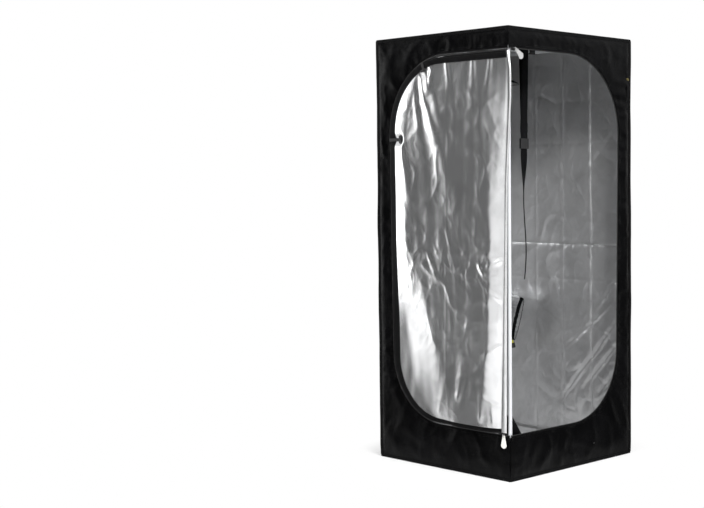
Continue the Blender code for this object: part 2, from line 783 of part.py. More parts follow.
def make_sliders(looks):
    """One slider rests at each end of the opened zip, each with a ring and a pull tab."""
    meshes = (slider_mesh(), ring_mesh(), pull_mesh())
    quarter = math.pi / 2
    top_spot = (SLIDER_TOP_S - HALF, -MID_PLANE, DOOR_TOP)
    bottom_spot = (-MID_PLANE, SLIDER_BOTTOM_S - HALF, DOOR_BOTTOM)
    window = COIL_RADIUS + SEAM_GAP + SLIDER_PLATE + CROWN_ROOM / 2
    for name, spot, turn, swing in (
        ("top", top_spot, math.pi, TOP_PULL_SWING),
        ("bottom", bottom_spot, quarter, 0.0),
    ):
        slider = make_object(f"slider_{name}", meshes[0], looks["metal"])
        slider.location = spot
        slider.rotation_euler = (0.0, 0.0, turn)
        crown = make_empty(f"pull_pivot_{name}", (0.0, window, 0.0), (0.0, swing, 0.0), slider)
        ring = make_object(f"pull_ring_{name}", meshes[1], looks["metal"], crown)
        ring.location = (0.0, RING_RADIUS, 0.0)
        tab = make_object(f"pull_tab_{name}", meshes[2], looks["pull"], crown)
        tab.location = (0.0, RING_RADIUS, 0.0)


def clip_mesh():
    """A snap clip round a side bar with a socket for the hanging bar's end along +X."""
    clip = cylinder_mesh("clip", CLIP_RADIUS, (0, -CLIP_LENGTH / 2, 0), (0, CLIP_LENGTH / 2, 0))
    clip = make_object("clip", clip)
    socket = cylinder_mesh("socket", CLIP_RADIUS, (0, 0, 0), (CLIP_REACH, 0, 0))
    combine(clip, make_object("socket", socket), "UNION")
    seat = CLIP_RADIUS + BORE_RADIUS / 2
    bore = cylinder_mesh("bore", BORE_RADIUS, (seat, 0, 0), (CLIP_REACH + OVERRUN, 0, 0))
    combine(clip, make_object("bore", bore), "DIFFERENCE")
    grip = cylinder_mesh("grip", BORE_RADIUS, (0, -CLIP_LENGTH, 0), (0, CLIP_LENGTH, 0))
    combine(clip, make_object("grip", grip), "DIFFERENCE")
    mouth_size = (CLIP_MOUTH, 2 * CLIP_LENGTH, 2 * CLIP_RADIUS)
    mouth = box_mesh("mouth", mouth_size, (0, 0, -CLIP_RADIUS))
    combine(clip, make_object("mouth", mouth), "DIFFERENCE")
    mesh = clip.data
    bpy.data.objects.remove(clip)
    return mesh


def make_hanging_bars(looks):
    seat = CLIP_RADIUS + BORE_RADIUS / 2
    half = INSET - seat - POLE_FIT
    inner = POLE_RADIUS - POLE_WALL
    profile = [(inner, -half), (POLE_RADIUS, -half), (POLE_RADIUS, half), (inner, half)]
    bar_mesh = turned_mesh("hanging_bar", profile)
    clip = clip_mesh()
    for name, y in (("front", -BAR_Y), ("rear", BAR_Y)):
        runner = make_empty(f"bar_runner_{name}", (0.0, y, TOP_Z))
        bar = make_object(f"hanging_bar_{name}", bar_mesh, looks["pole"], runner)
        bar.rotation_euler = (0.0, math.pi / 2, 0.0)
        for side, x, turn in (("left", -INSET, 0.0), ("right", INSET, math.pi)):
            end = make_object(f"bar_clip_{name}_{side}", clip, looks["plastic"], runner)
            end.location = (x, 0.0, 0.0)
            end.rotation_euler = (0.0, 0.0, turn)


def strap_path():
    """Middle line of the webbing as (y, z) from its stitched end, over the bar and down the tail."""
    wrap = POLE_RADIUS + SEAM_GAP + STRAP_THICKNESS / 2
    apart = (STRAP_THICKNESS + SEAM_GAP) / 2
    path = [(-apart, STRAP_START_Z), (-apart, STRAP_JOIN_Z)]
    for step in range(STRAP_OVER_STEPS + 1):
        angle = math.pi - math.pi * step / STRAP_OVER_STEPS
        path.append((wrap * math.cos(angle), TOP_Z + wrap * math.sin(angle)))
    path.append((apart, STRAP_JOIN_Z))
    for step in range(STRAP_STEPS + 1):
        share = step / STRAP_STEPS
        sway = STRAP_SAG * smooth_share(share) * math.sin(math.tau * share)
        path.append((apart + sway, STRAP_START_Z + (STRAP_END_Z - STRAP_START_Z) * share))
    return path


def make_strap(looks):
    """Webbing looped over the front hanging bar, with a slide buckle and a twisting tail."""
    pivot = make_empty("strap_pivot", (STRAP_X, -BAR_Y, TOP_Z))
    path = strap_path()
    bm = bmesh.new()
    rings = []
    for index, (y, z) in enumerate(path):
        before = Vector(path[max(index - 1, 0)])
        after = Vector(path[min(index + 1, len(path) - 1)])
        along = (after - before).normalized()
        normal = Vector((-along.y, along.x))
        tail_share = (index - len(path) + STRAP_STEPS + 1) / STRAP_STEPS
        twist_length = STRAP_TWIST_END_SHARE - STRAP_TWIST_START_SHARE
        twist = STRAP_TWIST * smooth_share((tail_share - STRAP_TWIST_START_SHARE) / twist_length)
        across = Vector((math.cos(twist), math.sin(twist) * abs(along.y), 0.0)) * STRAP_WIDTH / 2
        thick = Vector((-math.sin(twist) * normal.x, normal.x * math.cos(twist), normal.y))
        thick = thick * STRAP_THICKNESS / 2
        middle = Vector((STRAP_X, y - BAR_Y, z))
        corners = (middle + across + thick, middle - across + thick)
        corners += (middle - across - thick, middle + across - thick)
        rings.append([bm.verts.new(corner) for corner in corners])
    skin(bm, rings)
    bm.faces.new(rings[0])
    bm.faces.new(rings[-1])
    strap = make_object("hang_strap", to_mesh("hang_strap", bm, smooth=False), looks["webbing"])
    hang(strap, pivot)
    slot_deep = 2 * STRAP_THICKNESS + 3 * SEAM_GAP
    slot_wide = STRAP_WIDTH + 2 * SEAM_GAP
    size = (slot_wide + 2 * BUCKLE_RIM, slot_deep + 2 * BUCKLE_RIM, BUCKLE_HEIGHT)
    centre = (STRAP_X, -BAR_Y, BUCKLE_Z)
    buckle = make_object("strap_buckle", box_mesh("strap_buckle", size, centre, BUCKLE_EDGE))
    buckle.data.materials.append(looks["plastic"])
    slot = box_mesh("slot", (slot_wide, slot_deep, BUCKLE_HEIGHT + OVERRUN), centre)
    combine(buckle, make_object("slot", slot), "DIFFERENCE")
    hang(buckle, pivot)


def sock_point(angle, share, shrink, port, length, drop, tilt, upright):
    """A point on a duct sock: share runs from the wall to the mouth, shrink moves it inward."""
    open_size = 2 * PORT_RADIUS * PORT_RADIUS - SOCK_NARROW * SOCK_NARROW
    long_axis = math.sqrt(open_size)
    bend = smooth_share(share)
    wide = PORT_RADIUS + ((SOCK_NARROW if upright else long_axis) - PORT_RADIUS) * bend
    tall = PORT_RADIUS + ((long_axis if upright else SOCK_NARROW) - PORT_RADIUS) * bend
    ripple = SOCK_FOLD_DEPTH * math.sin(math.pi * share) * math.cos(SOCK_FOLDS * angle + share)
    hem = SOCK_HEM_RISE if shrink == 0 and share > 1.0 - SOCK_HEM / length else 0.0
    extra = ripple + hem - shrink
    x = (wide + extra) * math.cos(angle)
    up = (tall + extra) * math.sin(angle)
    lean = tilt * bend
    out = share * length
    z = port[1] - drop * share * share + up * math.cos(lean)
    y = HALF - out - up * math.sin(lean)
    return (port[0] + x, y, z)


def sock_shares(length):
    hem = SOCK_HEM / length
    shares = [(1.0 - hem) * step / (SOCK_RINGS - 2) for step in range(SOCK_RINGS - 1)]
    return [*shares, 1.0 - hem + SOCK_HEM_RISE / length, 1.0]


def make_sock(name, port, length, drop, tilt, upright, looks):
    """A limp fabric tube through the back wall, its mouth drawn flat by a hemmed cord tunnel."""
    bm = bmesh.new()
    shares = sock_shares(length)
    layers = [(share, 0.0) for share in shares]
    layers += [(share, SOCK_THICKNESS) for share in reversed(shares)]
    rings = []
    for share, shrink in layers:
        ring = []
        for side in range(SOCK_SIDES):
            angle = math.tau * side / SOCK_SIDES
            ring.append(bm.verts.new(sock_point(angle, share, shrink, port, length, drop, tilt, upright)))
        rings.append(ring)
    skin(bm, rings, closed=True)
    sock = make_object(name, to_mesh(name, bm), looks["film"])
    middle_hem = 1.0 - SOCK_HEM / length / 2
    low = Vector(sock_point(-math.pi / 2, middle_hem, 0.0, port, length, drop, tilt, upright))
    make_cord_lock(name.replace("duct_sock", "cord_lock"), low, sock, looks)


def least_gap(points_of, faces_of):
    """The least distance from one piece's points to another's faces."""
    mesh = faces_of.data
    points = [faces_of.matrix_world @ vertex.co for vertex in mesh.vertices]
    tree = BVHTree.FromPolygons(points, [face.vertices for face in mesh.polygons])
    return min(tree.find_nearest(points_of.matrix_world @ vertex.co)[3] for vertex in points_of.data.vertices)


def raise_to(support, pivot, pieces):
    """Lift hanging pieces until they lie a seam's gap below what carries them."""
    for _ in range(SEAT_PASSES):
        bpy.context.view_layer.update()
        gaps = [least_gap(piece, support) for piece in pieces]
        gaps += [least_gap(support, piece) for piece in pieces]
        pivot.location.z += min(gaps) - SEAM_GAP


def make_cord_lock(name, low, sock, looks):
    """A barrel lock that hangs under the hem, with a sprung button in its open end."""
    half = LOCK_HEIGHT / 2
    stand = half + BUTTON_STAND + BUTTON_RADIUS
    turn = (0.0, LOCK_TILT - math.pi / 2, 0.0)
    pivot = make_empty(f"{name}_pivot", (low.x, low.y, low.z - stand), turn)
    bore = BUTTON_RADIUS + SEAM_GAP
    body_mesh = cylinder_mesh(name, LOCK_RADIUS, (0, 0, -half), (0, 0, half))
    body = make_object(name, body_mesh, looks["plastic"])
    hollow = cylinder_mesh("hollow", bore, (0, 0, LOCK_FLOOR - half), (0, 0, half + OVERRUN))
    combine(body, make_object("hollow", hollow), "DIFFERENCE")
    body.parent = pivot
    button_name = name.replace("cord_lock", "lock_button")
    low_end = half + BUTTON_STAND - BUTTON_HEIGHT
    button_mesh = cylinder_mesh(button_name, BUTTON_RADIUS, (0, 0, low_end), (0, 0, half + BUTTON_STAND))
    button = make_object(button_name, button_mesh, looks["button"], pivot)
    raise_to(sock, pivot, (body, button))


def make_vent(looks):
    """A netted window low in the back wall and the outer flap that covers it."""
    mesh_size = (VENT_WIDTH - 2 * SEAM_GAP, VENT_MESH, VENT_HEIGHT - 2 * SEAM_GAP)
    mesh = box_mesh("vent_mesh", mesh_size, (VENT_X, MID_PLANE, VENT_Z))
    make_object("vent_mesh", mesh, looks["mesh"])
    top = VENT_Z + VENT_HEIGHT / 2 + VENT_HEM
    pivot = make_empty("vent_cover_pivot", (VENT_X, HALF + SEAM_GAP + FABRIC, top))
    tall = VENT_HEIGHT + 2 * VENT_HEM
    size = (VENT_WIDTH + 2 * VENT_HEM, FABRIC, tall)
    cover = box_mesh("vent_cover", size, (0.0, -FABRIC / 2, -tall / 2))
    make_object("vent_cover", cover, looks["cover"], pivot)


def make_tray(looks):
    """A shallow liner that lies on the floor inside the base bars."""
    half = INSET - SOCKET_RADIUS - TRAY_GAP
    low = FABRIC + SEAM_GAP
    outer = box_mesh("spill_tray", (2 * half, 2 * half, TRAY_HEIGHT), (0.0, 0.0, low + TRAY_HEIGHT / 2))
    tray = make_object("spill_tray", outer, looks["film"])
    inner = half - TRAY_WALL
    room_at = (0.0, 0.0, low + TRAY_WALL + TRAY_HEIGHT / 2)
    room = box_mesh("room", (2 * inner, 2 * inner, TRAY_HEIGHT), room_at)
    combine(tray, make_object("room", room), "DIFFERENCE")


def make_gusset(looks):
    """A triangle of cloth across the near corner, behind the foot of the upright."""
    wide = GUSSET_DEPTH - math.sqrt(2) * (FABRIC + SEAM_GAP)
    step = wide - GUSSET_STEP
    right = [
        (wide, GUSSET_LOW), (wide, GUSSET_STEP_Z), (step, GUSSET_STEP_Z + GUSSET_STEP),
        (step, GUSSET_SHOULDER_Z), (GUSSET_TIP, GUSSET_HIGH),
    ]
    outline = right + [(-a, z) for a, z in reversed(right)]
    across = Vector((1, -1, 0)) / math.sqrt(2)
    inward = Vector((1, 1, 0)) / math.sqrt(2)
    corner = Vector((-HALF, -HALF, 0))

    def place(a, z, depth):
        return corner + across * a + inward * (GUSSET_DEPTH + depth) + Vector((0, 0, z))

    mesh = plate_mesh("corner_gusset", outline, FABRIC, place)
    make_object("corner_gusset", mesh, looks["cover"])


def build():
    clear_scene()
    looks = make_looks()
    make_uprights(looks)
    make_bars(looks)
    make_connectors(looks)
    make_cover(looks)
    make_zip_tapes(looks)
    hinge_y = DOOR_REACH_TOP + HINGE_MARGIN - HALF
    swing = make_empty("door_swing", (-HALF - HINGE_OFFSET, hinge_y, 0.0))
    fold = make_empty("door_fold", (-FLAP_AXIS, -FLAP_AXIS, 0.0))
    hang(fold, swing)
    make_zipped_half(looks, swing)
    make_flap(looks, fold)
    make_toggles(looks, fold)
    make_sliders(looks)
    make_hanging_bars(looks)
    make_strap(looks)
    upper = (UPPER_PORT, UPPER_SOCK_LENGTH, UPPER_SOCK_DROP, UPPER_SOCK_TILT, False)
    lower = (LOWER_PORT, SOCK_LENGTH, SOCK_DROP, SOCK_TILT, True)
    make_sock("duct_sock_upper", *upper, looks)
    make_sock("duct_sock_lower", *lower, looks)
    make_vent(looks)
    make_tray(looks)
    make_gusset(looks)


build()
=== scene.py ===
import json
import math

import bmesh
import bpy
import numpy as np
from mathutils import Matrix, Vector, noise
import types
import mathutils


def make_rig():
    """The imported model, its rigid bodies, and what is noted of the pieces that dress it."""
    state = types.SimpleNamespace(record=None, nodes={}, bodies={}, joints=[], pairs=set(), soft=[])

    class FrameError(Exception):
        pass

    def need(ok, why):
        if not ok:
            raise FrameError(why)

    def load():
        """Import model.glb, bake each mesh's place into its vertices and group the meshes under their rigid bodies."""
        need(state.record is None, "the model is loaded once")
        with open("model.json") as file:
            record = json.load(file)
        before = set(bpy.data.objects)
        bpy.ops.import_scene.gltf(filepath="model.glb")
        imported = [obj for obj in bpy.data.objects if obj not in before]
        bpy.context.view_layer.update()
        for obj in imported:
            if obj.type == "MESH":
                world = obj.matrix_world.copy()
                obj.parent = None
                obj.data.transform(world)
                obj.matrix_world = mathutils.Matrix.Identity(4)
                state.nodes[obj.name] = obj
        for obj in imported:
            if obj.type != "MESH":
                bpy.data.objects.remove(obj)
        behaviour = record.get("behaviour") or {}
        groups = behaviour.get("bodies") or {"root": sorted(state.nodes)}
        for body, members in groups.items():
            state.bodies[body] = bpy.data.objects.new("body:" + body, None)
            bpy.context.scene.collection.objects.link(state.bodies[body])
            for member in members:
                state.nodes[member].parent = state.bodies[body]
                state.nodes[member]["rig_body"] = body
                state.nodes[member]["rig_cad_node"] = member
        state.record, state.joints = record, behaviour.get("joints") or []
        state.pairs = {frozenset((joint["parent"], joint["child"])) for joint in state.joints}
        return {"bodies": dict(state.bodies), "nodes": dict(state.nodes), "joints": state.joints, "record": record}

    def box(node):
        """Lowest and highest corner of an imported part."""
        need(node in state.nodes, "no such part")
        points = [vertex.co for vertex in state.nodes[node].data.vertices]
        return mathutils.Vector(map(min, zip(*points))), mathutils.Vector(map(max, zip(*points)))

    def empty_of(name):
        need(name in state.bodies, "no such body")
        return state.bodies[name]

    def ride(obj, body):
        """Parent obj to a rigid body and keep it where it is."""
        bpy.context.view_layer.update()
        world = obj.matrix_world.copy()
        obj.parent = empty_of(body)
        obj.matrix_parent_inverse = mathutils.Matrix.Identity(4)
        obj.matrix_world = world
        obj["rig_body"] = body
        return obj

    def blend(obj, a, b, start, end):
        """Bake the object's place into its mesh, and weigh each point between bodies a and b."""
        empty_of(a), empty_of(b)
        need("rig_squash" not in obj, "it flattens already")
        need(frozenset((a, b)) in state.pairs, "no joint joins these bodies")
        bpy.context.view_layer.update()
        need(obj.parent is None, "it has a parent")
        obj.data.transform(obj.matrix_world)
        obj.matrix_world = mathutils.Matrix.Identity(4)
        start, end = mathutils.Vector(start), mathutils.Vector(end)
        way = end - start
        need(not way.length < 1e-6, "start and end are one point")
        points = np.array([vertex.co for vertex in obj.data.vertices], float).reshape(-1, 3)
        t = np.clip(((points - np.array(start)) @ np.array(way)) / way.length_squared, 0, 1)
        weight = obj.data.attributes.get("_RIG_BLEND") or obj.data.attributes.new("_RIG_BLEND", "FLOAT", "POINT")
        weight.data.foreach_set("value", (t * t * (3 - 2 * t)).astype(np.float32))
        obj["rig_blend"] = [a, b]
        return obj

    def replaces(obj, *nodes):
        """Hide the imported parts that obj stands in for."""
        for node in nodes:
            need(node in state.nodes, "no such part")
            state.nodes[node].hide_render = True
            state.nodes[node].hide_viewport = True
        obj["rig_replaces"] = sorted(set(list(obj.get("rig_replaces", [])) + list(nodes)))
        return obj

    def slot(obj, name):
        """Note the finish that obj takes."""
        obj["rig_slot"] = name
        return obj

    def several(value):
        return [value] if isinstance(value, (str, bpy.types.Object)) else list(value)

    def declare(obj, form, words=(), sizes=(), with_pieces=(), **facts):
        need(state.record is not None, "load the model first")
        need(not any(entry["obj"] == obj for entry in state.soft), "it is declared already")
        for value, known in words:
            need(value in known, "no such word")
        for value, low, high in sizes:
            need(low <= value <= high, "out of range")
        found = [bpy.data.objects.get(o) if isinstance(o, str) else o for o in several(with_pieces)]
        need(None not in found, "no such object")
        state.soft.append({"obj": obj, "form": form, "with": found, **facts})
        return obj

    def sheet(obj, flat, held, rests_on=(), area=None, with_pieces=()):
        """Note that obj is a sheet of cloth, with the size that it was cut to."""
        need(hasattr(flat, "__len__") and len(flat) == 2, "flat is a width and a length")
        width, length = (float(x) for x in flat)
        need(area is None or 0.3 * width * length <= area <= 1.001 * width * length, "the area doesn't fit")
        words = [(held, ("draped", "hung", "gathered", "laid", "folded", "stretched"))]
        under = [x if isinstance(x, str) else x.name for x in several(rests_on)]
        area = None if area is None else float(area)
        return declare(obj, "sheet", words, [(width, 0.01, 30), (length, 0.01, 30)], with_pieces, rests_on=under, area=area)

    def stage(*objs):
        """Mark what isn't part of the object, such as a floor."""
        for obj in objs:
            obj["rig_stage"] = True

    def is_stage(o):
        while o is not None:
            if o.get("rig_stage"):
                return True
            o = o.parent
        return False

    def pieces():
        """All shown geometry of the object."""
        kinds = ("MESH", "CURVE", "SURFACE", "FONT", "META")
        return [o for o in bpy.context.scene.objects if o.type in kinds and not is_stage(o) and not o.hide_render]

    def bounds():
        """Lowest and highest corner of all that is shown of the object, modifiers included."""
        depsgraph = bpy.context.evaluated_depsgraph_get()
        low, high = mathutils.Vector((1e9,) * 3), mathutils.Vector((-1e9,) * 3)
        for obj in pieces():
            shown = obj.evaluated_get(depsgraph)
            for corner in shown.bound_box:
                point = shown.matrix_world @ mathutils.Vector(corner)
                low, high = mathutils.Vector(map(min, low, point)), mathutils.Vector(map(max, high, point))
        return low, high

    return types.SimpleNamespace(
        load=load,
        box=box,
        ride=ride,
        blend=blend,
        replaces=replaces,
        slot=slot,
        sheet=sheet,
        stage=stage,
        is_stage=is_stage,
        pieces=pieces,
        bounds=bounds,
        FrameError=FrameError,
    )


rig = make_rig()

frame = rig.load()
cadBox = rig.bounds()
nodes = frame["nodes"]
print("frame loaded:", len(nodes), "nodes")

tent = {"half": 0.3, "height": 1.4, "fabric": 0.0012, "lip": 0.0015}
tentHalf, tentSide, tentHigh = tent["half"], 2 * tent["half"], tent["height"]
skin = tent["fabric"] / 2  # the middle of the cover lies this far inside its face
door = {
    "top": 1.332, "bottom": 0.146, "reachTop": 0.535, "reachBottom": 0.52,
    "radiusTop": 0.25, "radiusBottom": 0.22, "foldTop": 0.003, "foldBottom": 0.032,
    "inset": 0.0075, "steps": (44, 64, 84, 58, 44), "cut": (0.53, 1.18),
}


class Wire:
    # one socket of a material, so that shader sums read as sums
    def __init__(self, paint, socket):
        self.paint = paint
        self.socket = socket

    def calc(self, kind, first, second=0.0):
        return self.paint.node("Math", {"operation": kind}, {0: first, 1: second})

    def __add__(self, other):
        return self.calc("ADD", self, other)

    def __radd__(self, other):
        return self.calc("ADD", other, self)

    def __sub__(self, other):
        return self.calc("SUBTRACT", self, other)

    def __rsub__(self, other):
        return self.calc("SUBTRACT", other, self)

    def __mul__(self, other):
        return self.calc("MULTIPLY", self, other)

    def __rmul__(self, other):
        return self.calc("MULTIPLY", other, self)

    def sine(self):
        return self.calc("SINE", self)

    def above(self, edge, soft):
        # 0 below the edge and 1 past it, over a soft width
        sockets = {"Value": self, "From Min": edge, "From Max": edge + soft}
        return self.paint.node("MapRange", {"interpolation_type": "SMOOTHSTEP"}, sockets)


class Board:
    # a node tree, and the one way in which nodes are added to it
    def __init__(self, tree, shader):
        self.tree = tree
        self.shader = tree.nodes[shader]

    def feed(self, name, value, owner=None):
        socket = (owner or self.shader).inputs[name]
        if isinstance(value, Wire):
            self.tree.links.new(value.socket, socket)
        else:
            socket.default_value = value

    def node(self, kind, settings=None, sockets=None, out=0):
        made = self.tree.nodes.new("ShaderNode" + kind)
        for key, value in (settings or {}).items():
            setattr(made, key, value)
        for key, value in (sockets or {}).items():
            self.feed(key, value, made)
        return Wire(self, made.outputs[out])


class Paint(Board):
    # one material and the nodes that its finish is made of
    def __init__(self, name, colour, roughness, metallic=0.0, specular=0.5):
        self.material = bpy.data.materials.new(name)
        self.material.use_nodes = True
        super().__init__(self.material.node_tree, "Principled BSDF")
        self.feed("Base Color", (*colour, 1.0))
        self.feed("Roughness", roughness)
        self.feed("Metallic", metallic)
        self.feed("Specular IOR Level", specular)
        self.place = self.node("TexCoord", out="Object")

    def axes(self):
        split = self.node("SeparateXYZ", sockets={"Vector": self.place})
        return [Wire(self, made) for made in split.socket.node.outputs]

    def stretched(self, stretch):
        return self.node("VectorMath", {"operation": "MULTIPLY"}, {0: self.place, 1: stretch})

    def cloudy(self, size, detail=3.0, roughness=0.55, stretch=(1, 1, 1)):
        sockets = {"Scale": 1.0 / size, "Detail": detail, "Roughness": roughness}
        return self.node("TexNoise", {}, {"Vector": self.stretched(stretch), **sockets})

    def ridges(self, size, stretch=(1, 1, 1), narrow=9.0):
        # thin raised lines that wander, like those of crumpled film
        around = self.cloudy(size, 1.0, 0.5, stretch) - 0.5
        return around.calc("MAXIMUM", 1.0 - around.calc("ABSOLUTE", around) * narrow, 0.0)

    def mixed(self, share, first, second):
        sockets = {0: share, 6: (*first, 1.0), 7: (*second, 1.0)}
        return self.node("Mix", {"data_type": "RGBA"}, sockets, out=2)

    def bump(self, height, depth, strength=1.0, under=None):
        sockets = {"Height": height, "Distance": depth, "Strength": strength}
        if under:
            sockets["Normal"] = under
        return self.node("Bump", {}, sockets)

    def threads(self, lying, pitch):
        # a plain weave, across and along the cloth
        x, y, z = self.axes()
        across, along = (x, y) if lying else (x + y, z)
        return (across * (math.pi / pitch)).sine() * (along * (math.pi / pitch)).sine()

    def finish(self, mask, patches, colours, roughness, normal):
        # patches is where the mask turns from the first colour to the second, and how softly
        self.feed("Base Color", self.mixed(mask.above(*patches), *colours))
        self.feed("Roughness", roughness)
        self.feed("Normal", normal)
        return self.material


def scaled(colour, factor, lift=0.0):
    return tuple(value * factor + lift for value in colour)


def makeOxford(name, lying=False):
    look = {
        "colour": (0.0009, 0.0009, 0.0011), "worn": (0.0024, 0.0024, 0.0028), "pitch": 0.0011,
        "grime": 0.16, "slubs": 0.004, "creases": 0.03, "creaseDepth": 0.0016, "threadDepth": 0.00012,
        "patches": (0.45, 0.3), "sheen": 0.06, "roughness": (0.19, 0.1, 0.05),
    }
    paint = Paint(name, look["colour"], 0.45, specular=look["sheen"])
    threads = paint.threads(lying, look["pitch"])
    grime = paint.cloudy(look["grime"], 5.0)
    slubs = paint.cloudy(look["slubs"], 2.0, stretch=(1, 1, 5))
    creased = paint.bump(paint.cloudy(look["creases"], 4.0, 0.6), look["creaseDepth"], 0.55)
    normal = paint.bump(threads + slubs * 0.6, look["threadDepth"], 0.5, creased)
    least, byGrime, bySlubs = look["roughness"]
    roughness = least + grime * byGrime + slubs * bySlubs
    return paint.finish(grime, look["patches"], (look["colour"], look["worn"]), roughness, normal)


def makeFilm(name, film, lying=False):
    look = {
        "tone": (0.985, 0.99, 1.0), "dull": 0.84, "pitch": 0.0014, "haze": 0.09, "waves": 0.05, "crumples": 0.045,
        "lines": (0.07, 0.03), "waveDepth": 0.002, "crumpleDepth": 0.0003, "threadDepth": 0.00001,
        "patches": (0.42, 0.3), "hazeRoughness": 0.08,
    }
    colour = scaled(look["tone"], film["bright"])
    paint = Paint(name, colour, film["roughness"], metallic=film["metallic"])
    threads = paint.threads(lying, look["pitch"])
    haze = paint.cloudy(look["haze"], 4.0)
    waves = paint.cloudy(look["waves"], 1.0, 0.5, (1, 1, 0.5))
    waved = paint.bump(waves, look["waveDepth"], film["crinkle"])
    crumpled = paint.bump(paint.cloudy(look["crumples"], 1.0, 0.4), look["crumpleDepth"], film["crinkle"], waved)
    lines = paint.ridges(look["lines"][0]) + paint.ridges(look["lines"][1], (1, 1, 0.7)) * 0.5
    lined = paint.bump(lines, film["ridge"], film["crinkle"], crumpled)
    normal = paint.bump(threads, look["threadDepth"], 0.15, lined)
    roughness = film["roughness"] - look["hazeRoughness"] / 2 + haze * look["hazeRoughness"]
    return paint.finish(haze, look["patches"], (colour, scaled(colour, look["dull"])), roughness, normal)


def makeTape(name, colour=(0.002, 0.002, 0.0022), pitch=0.0014):
    look = {
        "lighter": 2.2, "lift": 0.0012, "dust": 0.02, "ribDepth": 0.00018,
        "patches": (0.5, 0.25), "sheen": 0.06, "roughness": (0.58, 0.16),
    }
    paint = Paint(name, colour, 0.66, specular=look["sheen"])
    x, y, z = paint.axes()
    ribs = ((x + y + z) * (math.pi / pitch)).sine() * ((z - x - y) * (math.pi / pitch)).sine()
    dusty = paint.cloudy(look["dust"], 4.0)
    least, byDust = look["roughness"]
    normal = paint.bump(ribs, look["ribDepth"], 0.7)
    colours = (colour, scaled(colour, look["lighter"], look["lift"]))
    return paint.finish(dusty, look["patches"], colours, least + dusty * byDust, normal)


def makePlastic(name, colour, roughness, lighter=1.6):
    look = {
        "lift": 0.004, "grain": 0.0012, "scuffs": 0.009, "grainDepth": 0.00006,
        "patches": (0.56, 0.16), "sheen": 0.45, "smoother": 0.05, "byScuffs": 0.14,
    }
    paint = Paint(name, colour, roughness, specular=look["sheen"])
    grain = paint.cloudy(look["grain"], 2.0)
    scuffs = paint.cloudy(look["scuffs"], 5.0, 0.7)
    normal = paint.bump(grain, look["grainDepth"], 0.5)
    colours = (colour, scaled(colour, lighter, look["lift"]))
    worn = roughness - look["smoother"] + scuffs * look["byScuffs"]
    return paint.finish(scuffs, look["patches"], colours, worn, normal)


def makePoleCoat():
    look = {
        "colour": (0.6, 0.61, 0.63), "rubbed": (0.48, 0.49, 0.51), "peel": 0.0022, "rub": 0.05, "peelDepth": 0.00008,
        "patches": (0.55, 0.2), "roughness": (0.3, 0.14),
    }
    paint = Paint("poleCoat", look["colour"], 0.34)
    peel = paint.cloudy(look["peel"], 2.0)
    rub = paint.cloudy(look["rub"], 5.0, 0.6, (1, 1, 0.3))
    normal = paint.bump(peel, look["peelDepth"], 0.5)
    least, byRub = look["roughness"]
    return paint.finish(rub, look["patches"], (look["colour"], look["rubbed"]), least + rub * byRub, normal)


def makeMetal(name, colour):
    look = {"dark": 0.6, "wear": 0.004, "wearDepth": 0.00008, "patches": (0.5, 0.2), "roughness": (0.22, 0.25)}
    paint = Paint(name, colour, 0.3, metallic=1.0)
    wear = paint.cloudy(look["wear"], 4.0, 0.7)
    least, byWear = look["roughness"]
    normal = paint.bump(wear, look["wearDepth"], 0.4)
    return paint.finish(wear, look["patches"], (colour, scaled(colour, look["dark"])), least + wear * byWear, normal)


# the inside liner is the same silver film as the door, but its brightness is set lower than the door's: painted shade
# for the inside of the tent
liner = {"bright": 0.54, "roughness": 0.33, "crinkle": 0.8, "metallic": 0.72, "ridge": 0.0006}
doorFilm = {"bright": 0.8, "roughness": 0.25, "crinkle": 0.4, "metallic": 0.97, "ridge": 0.0}
looks = {
    "oxford": makeOxford("oxford"),
    "oxfordLying": makeOxford("oxfordLying", lying=True),
    "liner": makeFilm("liner", liner),
    "linerLying": makeFilm("linerLying", liner, lying=True),
    "doorFilm": makeFilm("doorFilm", doorFilm),
    "tape": makeTape("zipTape"),
    "webbing": makeTape("webbing", (0.003, 0.003, 0.0034), 0.0022),
    "thread": makeTape("thread", (0.03, 0.03, 0.03), 0.0008),
    "coil": makePlastic("zipCoil", (0.012, 0.012, 0.012), 0.32),
    "plastic": makePlastic("blackPlastic", (0.012, 0.012, 0.0125), 0.42),
    "greyPull": makePlastic("greyPull", (0.33, 0.33, 0.33), 0.35, 1.2),
    "whitePull": makePlastic("whitePull", (0.78, 0.77, 0.73), 0.35, 1.05),
    "button": makePlastic("lockButton", (0.42, 0.4, 0.05), 0.36, 1.2),
    "net": makeTape("netThread", (0.012, 0.012, 0.012), 0.0006),
    "pole": makePoleCoat(),
    "nickel": makeMetal("nickel", (0.5, 0.5, 0.5)),
    "oldBrass": makeMetal("oldBrass", (0.13, 0.11, 0.045)),
}
print("finishes made:", len(looks))


def smoothStep(value):
    value = np.clip(value, 0.0, 1.0)
    return value * value * (3.0 - 2.0 * value)


def joined(*parts):
    # coordinates as points, with single numbers spread over the others
    return np.stack(np.broadcast_arrays(*parts), -1)


def grid(rows, columns):
    return np.meshgrid(rows, columns, indexing="ij")


def lengthAlong(line):
    return np.cumsum(np.r_[0, np.linalg.norm(np.diff(line, axis=0), axis=1)])


def unitRuns(line):
    run = np.gradient(line, axis=0)
    return run / np.linalg.norm(run, axis=1, keepdims=True)


def spread(at, along, values):
    # the rows of values, at given lengths along their line
    return joined(*(np.interp(at, along, column) for column in values.T))


def alike(direction, spots):
    return np.tile(direction, (len(spots), 1))


def rough(points, size, seed):
    # smooth noise from -1 to 1 at each point
    flat = np.asarray(points, float).reshape(-1, 3) / size + seed * 7.31
    found = np.array([noise.noise(Vector(spot)) for spot in flat])
    return found.reshape(points.shape[:-1])


def creases(points, size, seed, sharp=3.0):
    # narrow ridges along winding lines
    found = 1.0 - np.minimum(1.0, np.abs(rough(points, size, seed)) * sharp)
    return found * found


